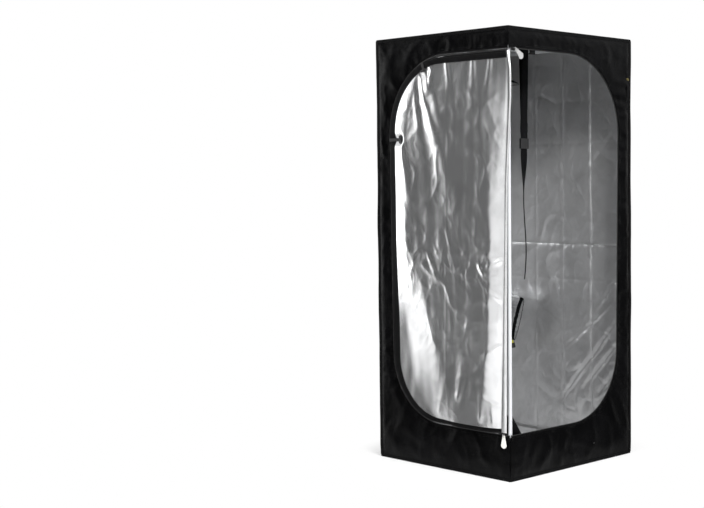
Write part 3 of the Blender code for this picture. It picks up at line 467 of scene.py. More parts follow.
def gathers(along, away, pitch, reach, seed):
    # puckers square to a seam, which die away from it
    return rough(joined(along / pitch, away / (pitch * 5.0), seed), 1.0, seed) * np.exp(-np.maximum(away, 0.0) / reach)


def hump(share):
    # 0 at both ends and 1 in the middle
    return np.sin(math.pi * np.clip(share, 0, 1))


swell = {
    "reach": 0.0022, "foot": 0.004, "rise": 0.05, "door": 0.25, "fade": 0.04,
    "waves": (((0.28, 8.3, 1.1), (0.22, 21.0, 3.7)), ((0.3, 7.1, 4.0), (0.2, 25.0, 0.6))),
}


def swollen(points):
    # the whole cover stands a little proud of its frame, alike on panels that meet, but not beside the door
    level = smoothStep((points[..., 2] - swell["foot"]) / swell["rise"])
    moved = points.copy()
    for axis, waves in enumerate(swell["waves"]):
        here, across = points[..., axis], points[..., 1 - axis]
        full = 0.5 + sum(height * np.sin(pace * points[..., 2] + start) for height, pace, start in waves)
        byDoor = np.where(here < 0, smoothStep((across - swell["door"]) / swell["fade"]), 1.0)
        moved[..., axis] += swell["reach"] * level * full * byDoor * (here / tentHalf) ** 5
    return moved


def gridNormals(points, loop):
    if loop:
        across = np.roll(points, -1, axis=1) - np.roll(points, 1, axis=1)
    else:
        across = np.gradient(points, axis=1)
    found = np.cross(np.gradient(points, axis=0), across)
    return found / np.maximum(np.linalg.norm(found, axis=-1, keepdims=True), 1e-12)


def facesIn(points, outward):
    # whether the grid's normals point away from the given directions
    return float((gridNormals(points, False) * outward).sum()) < 0


def addObject(name, data):
    made = bpy.data.objects.new(name, data)
    bpy.context.scene.collection.objects.link(made)
    return made


def addBmesh(name, bm, look=None):
    mesh = bpy.data.meshes.new(name)
    bm.to_mesh(mesh)
    bm.free()
    if look:
        mesh.materials.append(looks[look])
    return addObject(name, mesh)


def smoothen(mesh, edge=50):
    mesh.shade_smooth()
    mesh.set_sharp_from_angle(angle=math.radians(edge))


def layCloth(name, points, thick, outer, inner=None, flip=False, loop=False):
    # a closed sheet: one layer of faces on each side of the grid, and a rim
    rows, columns = points.shape[:2]
    normals = gridNormals(points, loop) * (-1.0 if flip else 1.0)
    top = (points + normals * thick / 2).reshape(-1, 3)
    low = (points - normals * thick / 2).reshape(-1, 3)
    count = rows * columns
    index = np.arange(count).reshape(rows, columns)
    if loop:
        index = np.concatenate([index, index[:, :1]], axis=1)
    quads = np.stack([index[:-1, :-1], index[1:, :-1], index[1:, 1:], index[:-1, 1:]], -1).reshape(-1, 4)
    if flip:
        quads = quads[:, ::-1]
    faces = [quads, quads[:, ::-1] + count]
    rims = [index[0], index[-1, ::-1]]
    if not loop:
        rims += [index[::-1, 0], index[:, -1]]
    for rim in rims:
        first, second = rim[:-1], rim[1:]
        edge = np.stack([first, second, second + count, first + count], -1)
        faces.append(edge[:, ::-1] if flip else edge)
    mesh = bpy.data.meshes.new(name)
    mesh.from_pydata(np.concatenate([top, low]).tolist(), [], np.concatenate(faces).tolist())
    mesh.materials.append(looks[outer])
    mesh.materials.append(looks[inner or outer])
    marks = np.zeros(sum(len(part) for part in faces), np.int32)
    marks[len(quads):2 * len(quads)] = 1
    mesh.polygons.foreach_set("material_index", marks)
    smoothen(mesh)
    return addObject(name, mesh)


def settle(made, body, slotName, *stoodFor):
    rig.ride(made, body)
    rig.slot(made, slotName)
    if stoodFor:
        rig.replaces(made, *stoodFor)
    return made


def declare(made, flat, held, carriers=(), leastShare=0.301):
    whole = flat[0] * flat[1]
    area = sum(face.area for face in made.data.polygons) / 2
    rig.sheet(made, flat, held, list(carriers), min(max(area, leastShare * whole), whole))


def roundedTurn(before, corner, after, radius, steps):
    before, corner, after = (np.array(spot, float) for spot in (before, corner, after))
    inward = (before - corner) / np.linalg.norm(before - corner)
    onward = (after - corner) / np.linalg.norm(after - corner)
    half = math.acos(float(inward @ onward)) / 2
    middle = inward + onward
    centre = corner + middle / np.linalg.norm(middle) * radius / math.sin(half)
    start = corner + inward * radius / math.tan(half) - centre
    end = corner + onward * radius / math.tan(half) - centre
    first = math.atan2(start[1], start[0])
    sweep = math.atan2(end[1], end[0]) - first
    sweep = (sweep + math.pi) % math.tau - math.pi
    angles = first + sweep * np.linspace(0, 1, steps + 1)
    return centre + radius * joined(np.cos(angles), np.sin(angles))


def straight(first, second, steps):
    share = np.linspace(0, 1, steps + 1)[:, None]
    return np.array(first, float) * (1 - share) + np.array(second, float) * share


def doorLine(grow, nearTop=0.0, nearBottom=0.0):
    # the door's edge as (s, z), from the near end of its top to the near end of its bottom
    top, bottom = door["top"] + grow, door["bottom"] - grow
    upper, lower = (door["reachTop"] + grow, top), (door["reachBottom"] + grow, bottom)
    steps = door["steps"]
    turnOne = roundedTurn((0, top), upper, lower, door["radiusTop"] + grow, steps[1])
    turnTwo = roundedTurn(upper, lower, (0, bottom), door["radiusBottom"] + grow, steps[3])
    return np.concatenate([
        straight((nearTop, top), turnOne[0], steps[0]), turnOne[1:],
        straight(turnOne[-1], turnTwo[0], steps[2])[1:], turnTwo[1:],
        straight(turnTwo[-1], (nearBottom, bottom), steps[4])[1:],
    ])


def doorCurve(grow):
    # the same edge without its two level stretches
    edge = doorLine(grow)
    return edge[door["steps"][0]:len(edge) - door["steps"][4]]


def panelLine(inner, far, low, high):
    # the panel's outline, with a point for each point of the door's edge
    steps = door["steps"]
    marks = np.cumsum((0,) + steps)
    sTop, zTop = inner[marks[1]][0], inner[marks[2]][1]
    zLow, sLow = inner[marks[3]][1], inner[marks[4]][0]
    halfOne, halfTwo = steps[1] // 2, steps[3] // 2
    spots = [(0, high), (sTop, high), (far, high), (far, zTop), (far, zLow), (far, low), (sLow, low), (0, low)]
    counts = [steps[0], halfOne, steps[1] - halfOne, steps[2], halfTwo, steps[3] - halfTwo, steps[4]]
    parts = [straight(one, two, count)[1:] for one, two, count in zip(spots, spots[1:], counts)]
    return np.concatenate([[spots[0]], *parts])


def faceOf(axis, sign):
    # puts s along, z up and out on one upright face of the tent
    def place(s, z, out):
        level, off = s - tentHalf, sign * (tentHalf + out)
        return joined(off, level, z) if axis == 0 else joined(level, off, z)
    return place


onFront, onBack, onLeft, onRight = faceOf(1, -1), faceOf(1, 1), faceOf(0, -1), faceOf(0, 1)


relief = {
    "fade": 0.07, "bulge": 0.0045, "slack": 0.3, "large": (0.0028, 0.13), "small": (0.0013, 0.05), "least": -0.001,
    "pucker": 0.0016, "puckerReach": 0.03, "lowest": -0.0012, "seam": 0.009, "seamSoft": 0.012,
    "ridge": 0.004, "dip": 0.45, "dipWide": 0.035, "calmStart": 0.004, "calmOver": 0.05,
}


def panelRelief(points, away, seed):
    # how far a stretched panel stands out: slack and creases
    fade = smoothStep(away / relief["fade"])
    slack = relief["bulge"] * fade * (0.45 + 0.55 * rough(points, relief["slack"], seed))
    wrinkled = sum(
        depth * creases(points, size, seed + step)
        for step, (depth, size) in ((2, relief["large"]), (4, relief["small"]))
    )
    return np.maximum(slack + fade * wrinkled, relief["least"])


def puckers(along, away, pitch, seed):
    return relief["pucker"] * gathers(along, away, pitch, relief["puckerReach"], seed)


def flatAtSeam(toEdge):
    return smoothStep((toEdge - relief["seam"]) / relief["seamSoft"])


def foldCreases(s, z, lines):
    # sharp lines left by the carton, each (is it upright, where, how high)
    found = np.zeros_like(s)
    for upright, where, depth in lines:
        away = np.abs((s if upright else z) - where)
        found += depth * (np.exp(-away / relief["ridge"]) - relief["dip"] * np.exp(-((away / relief["dipWide"]) ** 2)))
    return found


def layWall(name, place, s, z, out, flip, stoodFor):
    made = layCloth(name, swollen(place(s, z, out - skin)), tent["fabric"], "oxford", "liner", flip)
    return settle(made, "tent", "cover", stoodFor)


def makeDoorWall(name, place, seed, flip, stoodFor):
    cut = {
        "grow": 0.009, "rings": 16, "pitches": (0.017, 0.02), "margin": (0.5, 0.04), "marginFoot": (0.18, 0.06),
        "marginRipple": (0.0022, 0.1, 0.016), "foot": 0.15, "footCreases": (0.003, 0.09), "rolled": 0.0006,
    }
    inner = doorLine(cut["grow"])
    outer = panelLine(inner, tentSide, tent["lip"], tentHigh - tent["lip"])
    share = np.linspace(0, 1, cut["rings"])[:, None, None]
    spots = inner * (1 - share) + outer * share
    s, z = spots[..., 0], spots[..., 1]
    toDoor = np.linalg.norm(spots - inner, axis=-1)
    toEdge = np.minimum.reduce([tentSide - s, z, tentHigh - z, np.where(z > 0, s + 0.02, s)])
    flatSpots = place(s, z, -skin)
    out = panelRelief(flatSpots, np.minimum(toDoor, toEdge) + 0.02, seed)
    out = out + puckers(np.broadcast_to(lengthAlong(inner), s.shape), toDoor, cut["pitches"][0], seed + 5)
    out = out + puckers(s + z, toEdge, cut["pitches"][1], seed + 6)
    # the margin beyond the door is drawn into level ripples, and the foot is crumpled
    margin = smoothStep((s - cut["margin"][0]) / cut["margin"][1]) * smoothStep((tentSide - s) / 0.02)
    margin = margin * smoothStep((z - cut["marginFoot"][0]) / cut["marginFoot"][1])
    depth, wide, tall = cut["marginRipple"]
    out = out + depth * margin * rough(joined(s / wide, z / tall, 0), 1.0, seed + 8)
    foot = smoothStep((cut["foot"] - z) / 0.03) * smoothStep(z / 0.02) * smoothStep((tentSide - s) / 0.12)
    depth, size = cut["footCreases"]
    out = out + depth * foot * creases(flatSpots, size, seed + 9, 2.2)
    out = np.maximum(out, relief["lowest"]) * flatAtSeam(toEdge) + cut["rolled"] * (1 - share[..., 0])
    declare(layWall(name, place, s, z, out, flip, stoodFor), (tentSide, tentHigh), "stretched")


def calmShare(s, z, calm):
    # 0 beside an opening, where the panel lies flat, and 1 away from it
    share = np.ones_like(s)
    for middleS, middleZ, halfWide, halfTall in calm:
        aside, over = np.abs(s - middleS) - halfWide, np.abs(z - middleZ) - halfTall
        away = np.hypot(np.maximum(aside, 0), np.maximum(over, 0))
        share = share * smoothStep((away - relief["calmStart"]) / relief["calmOver"])
    return share


def segmentSpread(s, z, first, second):
    # share along a segment and distance from it, for each point
    run = np.array(second) - np.array(first)
    share = np.clip(((s - first[0]) * run[0] + (z - first[1]) * run[1]) / (run @ run), 0, 1)
    return share, np.hypot(s - first[0] - share * run[0], z - first[1] - share * run[1])


def slantPulls(s, z, pulls):
    # long soft pulls across a panel: ends (s, z), half width, height
    found = np.zeros_like(s)
    for first, second, wide, height in pulls:
        share, away = segmentSpread(s, z, first, second)
        found += height * np.exp(-((away / wide) ** 2)) * np.sin(math.pi * np.clip(share, 0.02, 0.98)) ** 0.5
    return found


def makePlainWall(name, place, seed, flip, stoodFor, lines, pulls=(), calm=()):
    cut = {"rows": 320, "columns": 146, "pitch": 0.022}
    upright = np.linspace(tentHigh - tent["lip"], tent["lip"], cut["rows"])
    z, s = grid(upright, np.linspace(0, tentSide, cut["columns"]))
    edge = np.minimum(s, tentSide - s)
    away = np.minimum(edge, np.minimum(z, tentHigh - z))
    out = panelRelief(place(s, z, -skin), away, seed)
    out = out + smoothStep(away / 0.03) * (foldCreases(s, z, lines) + slantPulls(s, z, pulls))
    out = out + puckers(z, edge, cut["pitch"], seed + 5) + puckers(s, tentHigh - z, cut["pitch"], seed + 6)
    out = np.maximum(out, relief["lowest"]) * calmShare(s, z, calm) * flatAtSeam(away)
    return layWall(name, place, s, z, out, flip, stoodFor)


def makeLyingPanel(name, level, outward, stoodFor):
    cut = {"count": 80, "edge": 0.06, "large": (0.0035, 0.22), "small": (0.002, 0.1), "pressed": 0.35}
    row = np.linspace(-tentHalf, tentHalf, cut["count"])
    y, x = grid(row, row)
    flatSpots = joined(x, y, level)
    rise = cut["large"][0] * rough(flatSpots, cut["large"][1], 31)
    rise = rise + cut["small"][0] * creases(flatSpots, cut["small"][1], 33)
    rise = rise * smoothStep((tentHalf - np.maximum(np.abs(x), np.abs(y))) / cut["edge"])
    lift = rise if outward > 0 else np.abs(rise) * cut["pressed"]
    points = swollen(joined(x, y, level + lift))
    outer, inner = ("oxfordLying", "linerLying") if outward > 0 else ("linerLying", "oxfordLying")
    made = settle(layCloth(name, points, tent["fabric"], outer, inner, True), "tent", "cover", stoodFor)
    declare(made, (tentSide, tentSide), "stretched")


def carve(made, *tools):
    # cut holes and keep the result as a plain mesh
    for tool in tools:
        step = made.modifiers.new("cut", "BOOLEAN")
        step.operation, step.solver, step.object = "DIFFERENCE", "EXACT", tool
    bpy.context.view_layer.update()
    done = bpy.data.meshes.new_from_object(made.evaluated_get(bpy.context.evaluated_depsgraph_get()))
    made.modifiers.clear()
    made.data = done
    for tool in tools:
        bpy.data.objects.remove(tool)
    smoothen(made.data)


def cutter(name, centre, size, depth=0.08):
    # a tool for carve: round for one size, a radius, and square for two, its width and height
    bm = bmesh.new()
    if len(size) == 1:
        bmesh.ops.create_cone(bm, cap_ends=True, segments=64, radius1=size[0], radius2=size[0], depth=depth)
        bm.transform(Matrix.Rotation(math.pi / 2, 4, "X"))
    else:
        bmesh.ops.create_cube(bm, size=1.0)
        bmesh.ops.scale(bm, vec=(size[0], depth, size[1]), verts=bm.verts)
    bmesh.ops.translate(bm, vec=centre, verts=bm.verts)
    return addBmesh(name, bm)


ports = {"radius": 0.06, "room": 0.0004, "lower": (0.22, 0.462), "upper": (0.19, 1.312)}
vent = {"x": -0.09, "z": 0.17, "width": 0.24, "height": 0.11, "hem": 0.012, "calm": (0.15, 0.1)}
rightLines = (
    (True, 0.303, 0.0045), (True, 0.174, 0.0036), (True, 0.43, 0.0022),
    (False, 0.706, 0.0045), (False, 0.582, 0.0022), (False, 1.06, 0.002),
)
rightPulls = (
    ((0.056, 0.452), (0.315, 0.148), 0.009, 0.0059), ((0.03, 0.40), (0.21, 0.20), 0.008, 0.0051),
    ((0.09, 0.50), (0.30, 0.33), 0.007, 0.0041), ((0.02, 0.33), (0.14, 0.19), 0.007, 0.0048),
    ((0.12, 0.37), (0.27, 0.22), 0.006, 0.0034), ((0.04, 0.62), (0.16, 0.47), 0.007, 0.0031),
    ((0.20, 0.86), (0.33, 1.02), 0.008, 0.0027), ((0.05, 1.12), (0.2, 0.95), 0.008, 0.0027),
)
backLines = ((True, 0.3, 0.0012), (True, 0.15, 0.001), (False, 0.706, 0.0012), (False, 0.95, 0.0008))

makeDoorWall("coverFront", onFront, 1, True, "wall_front")
makeDoorWall("coverLeft", onLeft, 12, False, "wall_left")
right = makePlainWall("coverRight", onRight, 23, False, "wall_right", rightLines, rightPulls)
declare(right, (tentSide, tentHigh), "stretched")
holes = [cutter("window", (vent["x"], tentHalf, vent["z"]), (vent["width"], vent["height"]))]
calmSpots = [(vent["x"] + tentHalf, vent["z"], *vent["calm"])]
for kind in ("lower", "upper"):
    x, z = ports[kind]
    calmSpots.append((x + tentHalf, z, ports["radius"], ports["radius"]))
    holes.append(cutter(f"{kind}Hole", (x, tentHalf, z), (ports["radius"] + ports["room"],)))
back = makePlainWall("coverBack", onBack, 35, True, "wall_back", backLines, calm=calmSpots)
carve(back, *holes)
declare(back, (tentSide, tentHigh), "stretched")
makeLyingPanel("coverRoof", tentHigh - skin, 1, "roof_panel")
makeLyingPanel("coverFloor", skin, -1, "floor_panel")
print("cover panels laid")


def layRibbon(name, spots, sideways, outward, width, thick, look, body, slotName, crown=0.0004):
    # a strip of cloth along a line of spots, a little crowned
    shares = np.linspace(-0.5, 0.5, 7) * width
    dome = crown * (1 - (2 * shares / width) ** 2)
    points = spots[:, None, :] + sideways[:, None, :] * shares[None, :, None]
    points = points + outward[:, None, :] * dome[None, :, None]
    made = layCloth(name, points, thick, look, flip=facesIn(points, outward[:, None, :]))
    return settle(made, body, slotName)


def addTube(bm, rings):
    # faces round a run of four-cornered rings, and over its ends
    for first, second in zip(rings, rings[1:]):
        for here in range(4):
            there = (here + 1) % 4
            bm.faces.new((first[here], first[there], second[there], second[here]))
    bm.faces.new(rings[0][::-1])
    bm.faces.new(rings[-1])


stitch = {"start": 0.002, "length": 0.0032, "gap": 0.0016, "radius": 0.00032, "lifts": (-0.6, 0.8, 0.8, -0.6)}


def layStitches(name, spots, outward, body, slotName):
    # a row of raised stitches along a line
    along, radius, length = lengthAlong(spots), stitch["radius"], stitch["length"]
    bm = bmesh.new()
    for start in np.arange(stitch["start"], along[-1] - length, length + stitch["gap"]):
        at = start + length * np.array([0.0, 0.3, 0.7, 1.0])
        lift = spread(at, along, outward)
        middle = spread(at, along, spots) + lift * (radius * np.array(stitch["lifts"]))[:, None]
        aside = np.cross(middle[-1] - middle[0], lift[0])
        aside /= max(np.linalg.norm(aside), 1e-9)
        rings = []
        for spot, up in zip(middle, lift):
            ring = [spot + aside * radius, spot + up * radius, spot - aside * radius, spot - up * radius]
            rings.append([bm.verts.new(corner) for corner in ring])
        addTube(bm, rings)
    bmesh.ops.recalc_face_normals(bm, faces=bm.faces)
    made = addBmesh(name, bm, "thread")
    made.data.shade_smooth()
    settle(made, body, slotName)


zipper = {
    "gap": 0.0009, "coil": 0.0015, "tape": 0.016, "start": 0.0035, "pitch": 0.0022, "skin": 0.0003,
    "tapeThick": 0.0008, "seams": (0.0105, 0.0155), "seamStart": 0.006, "seamLift": 0.0011,
}


def layCoil(name, spots, outward, radius, body):
    # the zip's coil: a tube with a rib for each turn
    along = lengthAlong(spots)
    at = np.linspace(0, along[-1], int(along[-1] / zipper["pitch"]) * 3)
    line, up = spread(at, along, spots), spread(at, along, outward)
    up /= np.linalg.norm(up, axis=1, keepdims=True)
    aside = np.cross(unitRuns(line), up)
    thick = radius * (0.82 + 0.18 * np.cos(math.tau * at / zipper["pitch"]))
    angles = np.linspace(0, math.tau, 6, endpoint=False)
    rings = [line + (aside * math.cos(a) + up * math.sin(a)) * thick[:, None] for a in angles]
    settle(layCloth(name, np.stack(rings, 1), zipper["skin"], "coil", loop=True), body, "tape")


def frameAlong(flat, place, out):
    # points on a face along a flat line, with the directions across it and out of it
    run = unitRuns(flat)
    s, z = flat.T
    spots = place(s, z, out)
    return spots, place(s - run[:, 1], z + run[:, 0], out) - spots, place(s, z, out + 1.0) - spots


def makeWallZip(wall, place, node):
    start = zipper["start"]
    spots, aside, outward = frameAlong(doorLine(zipper["gap"] / 2 + zipper["coil"], start, start), place, -skin)
    layCoil(f"zipCoil{wall}", spots, outward, zipper["coil"], "tent")
    wide = zipper["tape"] - zipper["coil"]
    flat = doorLine(zipper["coil"] + zipper["tape"] / 2, start, start)
    strip = frameAlong(flat, place, -skin)
    tape = layRibbon(f"zipTape{wall}", *strip, wide, zipper["tapeThick"], "tape", "tent", "tape")
    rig.replaces(tape, node)
    for number, grow in enumerate(zipper["seams"]):
        flat = doorLine(grow, zipper["seamStart"], zipper["seamStart"])
        spots, aside, outward = frameAlong(flat, place, zipper["seamLift"])
        layStitches(f"zipStitch{wall}{number}", swollen(spots), outward, "tent", "tape")


makeWallZip("Front", onFront, "zip_tape_front")
makeWallZip("Left", onLeft, "zip_tape_left")


binding = {
    "thick": 0.0007, "stand": 0.0006, "reach": 0.011, "step": 0.012, "wave": 0.0004, "foot": 0.006, "clear": 0.018,
    "levelReach": 0.01, "corner": 0.004, "levelWave": 0.0003, "count": 60, "headroom": 0.004,
}


def makeCornerBinding(name, corner, low, high):
    # a folded tape that wraps an upright seam of the cover
    z = np.linspace(high, low, max(8, int((high - low) / binding["step"])))[:, None]
    along = np.linspace(-1, 1, 9)[None, :]
    out = tentHalf + binding["stand"]
    points = joined(
        corner[0] * (out + np.minimum(along, 0) * binding["reach"]),
        corner[1] * (out - np.maximum(along, 0) * binding["reach"]), z,
    )
    wave = binding["wave"] * rough(points, 0.05, 5)
    points = swollen(points + joined(corner[0] * wave, corner[1] * wave, 0))
    made = layCloth(name, points, binding["thick"], "tape", flip=facesIn(points, (*corner, 0)))
    settle(made, "tent", "cover")


roofSeam = tentHigh - binding["headroom"]
for name, corner in (("FrontRight", (1, -1)), ("BackLeft", (-1, 1)), ("BackRight", (1, 1))):
    makeCornerBinding(f"binding{name}", corner, binding["foot"], roofSeam)
makeCornerBinding("bindingNearTop", (-1, -1), door["top"] + binding["clear"], roofSeam)
makeCornerBinding("bindingNearFoot", (-1, -1), binding["foot"], door["bottom"] - binding["clear"])


def makeLevelBinding(name, z, lift):
    # a folded tape round the roof or the floor seam, as one closed loop
    half, count = tentHalf + binding["stand"], binding["count"]
    line = joined(half, np.linspace(-half + binding["corner"], half - binding["corner"], count))
    loop = []
    for turn in range(4):
        c, s = math.cos(turn * math.pi / 2), math.sin(turn * math.pi / 2)
        loop.append(line @ np.array([[c, s], [-s, c]]))
    loop = np.concatenate(loop)
    rows = []
    for share in np.linspace(-1, 1, 7):
        spots = loop * (1 - binding["levelReach"] * max(0.0, share) / half)
        rows.append(joined(spots[:, 0], spots[:, 1], z - lift * binding["levelReach"] * max(0.0, -share)))
    points = np.stack(rows, 0)
    points[..., 2] += binding["levelWave"] * lift * (1 + rough(points, 0.06, 3))
    points = swollen(points)
    middle = points[3] - np.array([0, 0, z])
    facing = float((gridNormals(points, True)[2] * middle).sum()) < 0
    settle(layCloth(name, points, binding["thick"], "tape", flip=facing, loop=True), "tent", "cover")


makeLevelBinding("bindingRoof", tentHigh + skin, 1)
makeLevelBinding("bindingFloor", tent["fabric"], -1)
print("seams and zips sewn")


def nearAt(z):
    share = (door["top"] - z) / (door["top"] - door["bottom"])
    return door["foldTop"] + (door["foldBottom"] - door["foldTop"]) * share


def turnAt(z):
    # where the folded-back half turns: past the corner at its top, short of it at its foot
    drop = np.clip((door["top"] - z) / (door["top"] - door["bottom"]), 0, 1)
    return np.interp(drop, flap["turnDrops"], flap["turnPlaces"])


def halfGrid(grow, columns, rows, nearOf=nearAt):
    # points (s, z) over one half of the door, finer where its edge curves
    curve = doorCurve(grow)
    along = lengthAlong(curve)
    far, z = spread(np.linspace(0, along[-1], rows), along, curve).T[..., None]
    near = nearOf(z)
    s = near + (far - near) * np.linspace(0, 1, columns)[None, :]
    return s, np.broadcast_to(z, s.shape), np.broadcast_to(far, s.shape)


def makeZippedHalf():
    half = {
        "rows": 150, "columns": 70, "grow": -0.004, "thick": 0.001, "wave": (0.0022, 0.2, 0.0006), "edge": 0.05,
        "range": (-0.003, 0.004), "lines": ((True, 0.3, 0.0007), (False, 0.706, 0.0008)),
        "tapeGrow": -0.0105, "tapeWide": 0.0145, "tapeThick": 0.0006, "tapeStart": 0.003, "tapeLift": 0.0008,
    }
    s, z, far = halfGrid(half["grow"], half["columns"], half["rows"])
    away = np.minimum.reduce([far - s, s - nearAt(z) + 0.01, door["top"] - z, z - door["bottom"]])
    height, size, sunk = half["wave"]
    out = height * rough(onLeft(s, z, -skin), size, 51) - sunk + foldCreases(s, z, half["lines"])
    out = np.clip(out * smoothStep(away / half["edge"]), *half["range"])
    made = layCloth("doorZippedHalf", onLeft(s, z, out - skin), half["thick"], "oxford", "liner", True)
    settle(made, "door_zipped", "cover", "door_zipped_half")
    declare(made, door["cut"], "stretched", ["zipTapeLeft"])
    flat = doorLine(-zipper["gap"] / 2 - zipper["coil"], door["foldTop"], door["foldBottom"])
    spots, aside, outward = frameAlong(flat, onLeft, -skin)
    layCoil("zipCoilDoorLeft", spots, outward, zipper["coil"], "door_zipped")
    flat = doorLine(half["tapeGrow"], door["foldTop"] + half["tapeStart"], door["foldBottom"] + half["tapeStart"])
    strip = frameAlong(flat, onLeft, half["tapeLift"])
    layRibbon("zipTapeDoorLeft", *strip, half["tapeWide"], half["tapeThick"], "tape", "door_zipped", "tape")


flap = {
    "stand": 0.012, "thick": 0.0008, "rise": (0.026, 0.014), "riseHeights": (0.3, 1.0), "rows": 260, "columns": 140,
    "reachHeights": (0.17, 0.45, 0.75, 1.0, 1.15, 1.3), "rightReach": (0.075, 0.05, 0.055, 0.09, 0.14, 0.19),
    "turnDrops": (0.0, 0.05, 0.12, 0.35, 1.0), "turnPlaces": (-0.004, -0.014, -0.014, 0.004, 0.026),
    "crestHeights": (0.17, 0.3, 0.45, 0.6, 0.72, 1.0, 1.15, 1.3),
    "crestPlaces": (0.19, 0.235, 0.3, 0.36, 0.43, 0.45, 0.43, 0.38),
    "crestWander": 0.012, "crestRoom": 0.03, "lowBelow": 0.62, "lowOver": 0.2, "lowFlat": 0.72,
    "topStart": 0.25, "topReach": 0.17, "footStart": 0.7, "footReach": 0.25,
    "swells": (0.0017, 0.15), "hanging": (0.0009, 0.034, 0.19), "fine": (0.0003, 0.045),
    "crumpled": 0.66, "crumpledOver": 0.1, "toggleDimple": (0.002, 0.024), "least": -0.0015,
    "lines": ((False, 0.7, 0.0006), (True, 0.245, 0.0004)), "seam": 0.014,
    "hemPuckers": (0.0010, 0.035, 0.019, 0.04), "footMore": (0.0008, 0.05), "farPuckers": (0.0014, 0.03, 0.021, 0.035),
}
# folds drawn by the toggles and by the fold line: start and end (s, z), half widths there, height
tensionFolds = (
    ((0.366, 1.272), (0.196, 0.85), 0.011, 0.052, 0.0105),
    ((0.392, 1.225), (0.345, 0.93), 0.008, 0.030, 0.0026),
    ((0.350, 1.290), (0.318, 1.140), 0.006, 0.014, -0.0050),
    ((0.455, 1.050), (0.385, 0.72), 0.009, 0.032, 0.0034),
    ((0.255, 1.315), (0.215, 1.14), 0.008, 0.018, 0.0022),
    ((0.135, 1.318), (0.120, 1.10), 0.009, 0.024, 0.0026),
    ((0.060, 1.310), (0.075, 1.16), 0.008, 0.016, 0.0018),
    ((0.105, 0.672), (0.050, 0.612), 0.006, 0.013, 0.0030),
    ((0.160, 0.470), (0.060, 0.520), 0.010, 0.022, 0.0013),
    ((0.120, 0.330), (0.045, 0.400), 0.010, 0.022, 0.0013),
    ((0.245, 0.780), (0.200, 0.640), 0.006, 0.014, 0.0015),
    ((0.330, 0.700), (0.270, 0.590), 0.006, 0.014, 0.0018),
    ((0.200, 0.230), (0.145, 0.420), 0.010, 0.030, 0.0038),
    ((0.300, 0.175), (0.235, 0.330), 0.008, 0.024, 0.0030),
    ((0.100, 0.175), (0.085, 0.330), 0.008, 0.022, 0.0032),
    ((0.012, 0.690), (0.075, 0.655), 0.004, 0.011, 0.0034),
    ((0.016, 0.560), (0.070, 0.600), 0.004, 0.010, 0.0030),
    ((0.022, 0.425), (0.080, 0.380), 0.004, 0.011, 0.0032),
    ((0.028, 0.235), (0.095, 0.260), 0.004, 0.012, 0.0034),
    ((0.050, 0.172), (0.050, 0.260), 0.005, 0.012, 0.0036),
)


def toggleReach(node):
    # where a toggle's band lies on the flap, as a segment in (s, z)
    low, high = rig.box(node)
    ends = (low.z, high.z)
    if node == "toggle_side":
        ends = ((low.z + high.z) / 2,) * 2
    return (low.y + tentHalf, ends[0]), (high.y + tentHalf, ends[1])


toggles = [toggleReach(node) for node in ("toggle_side", "toggle_upper")]


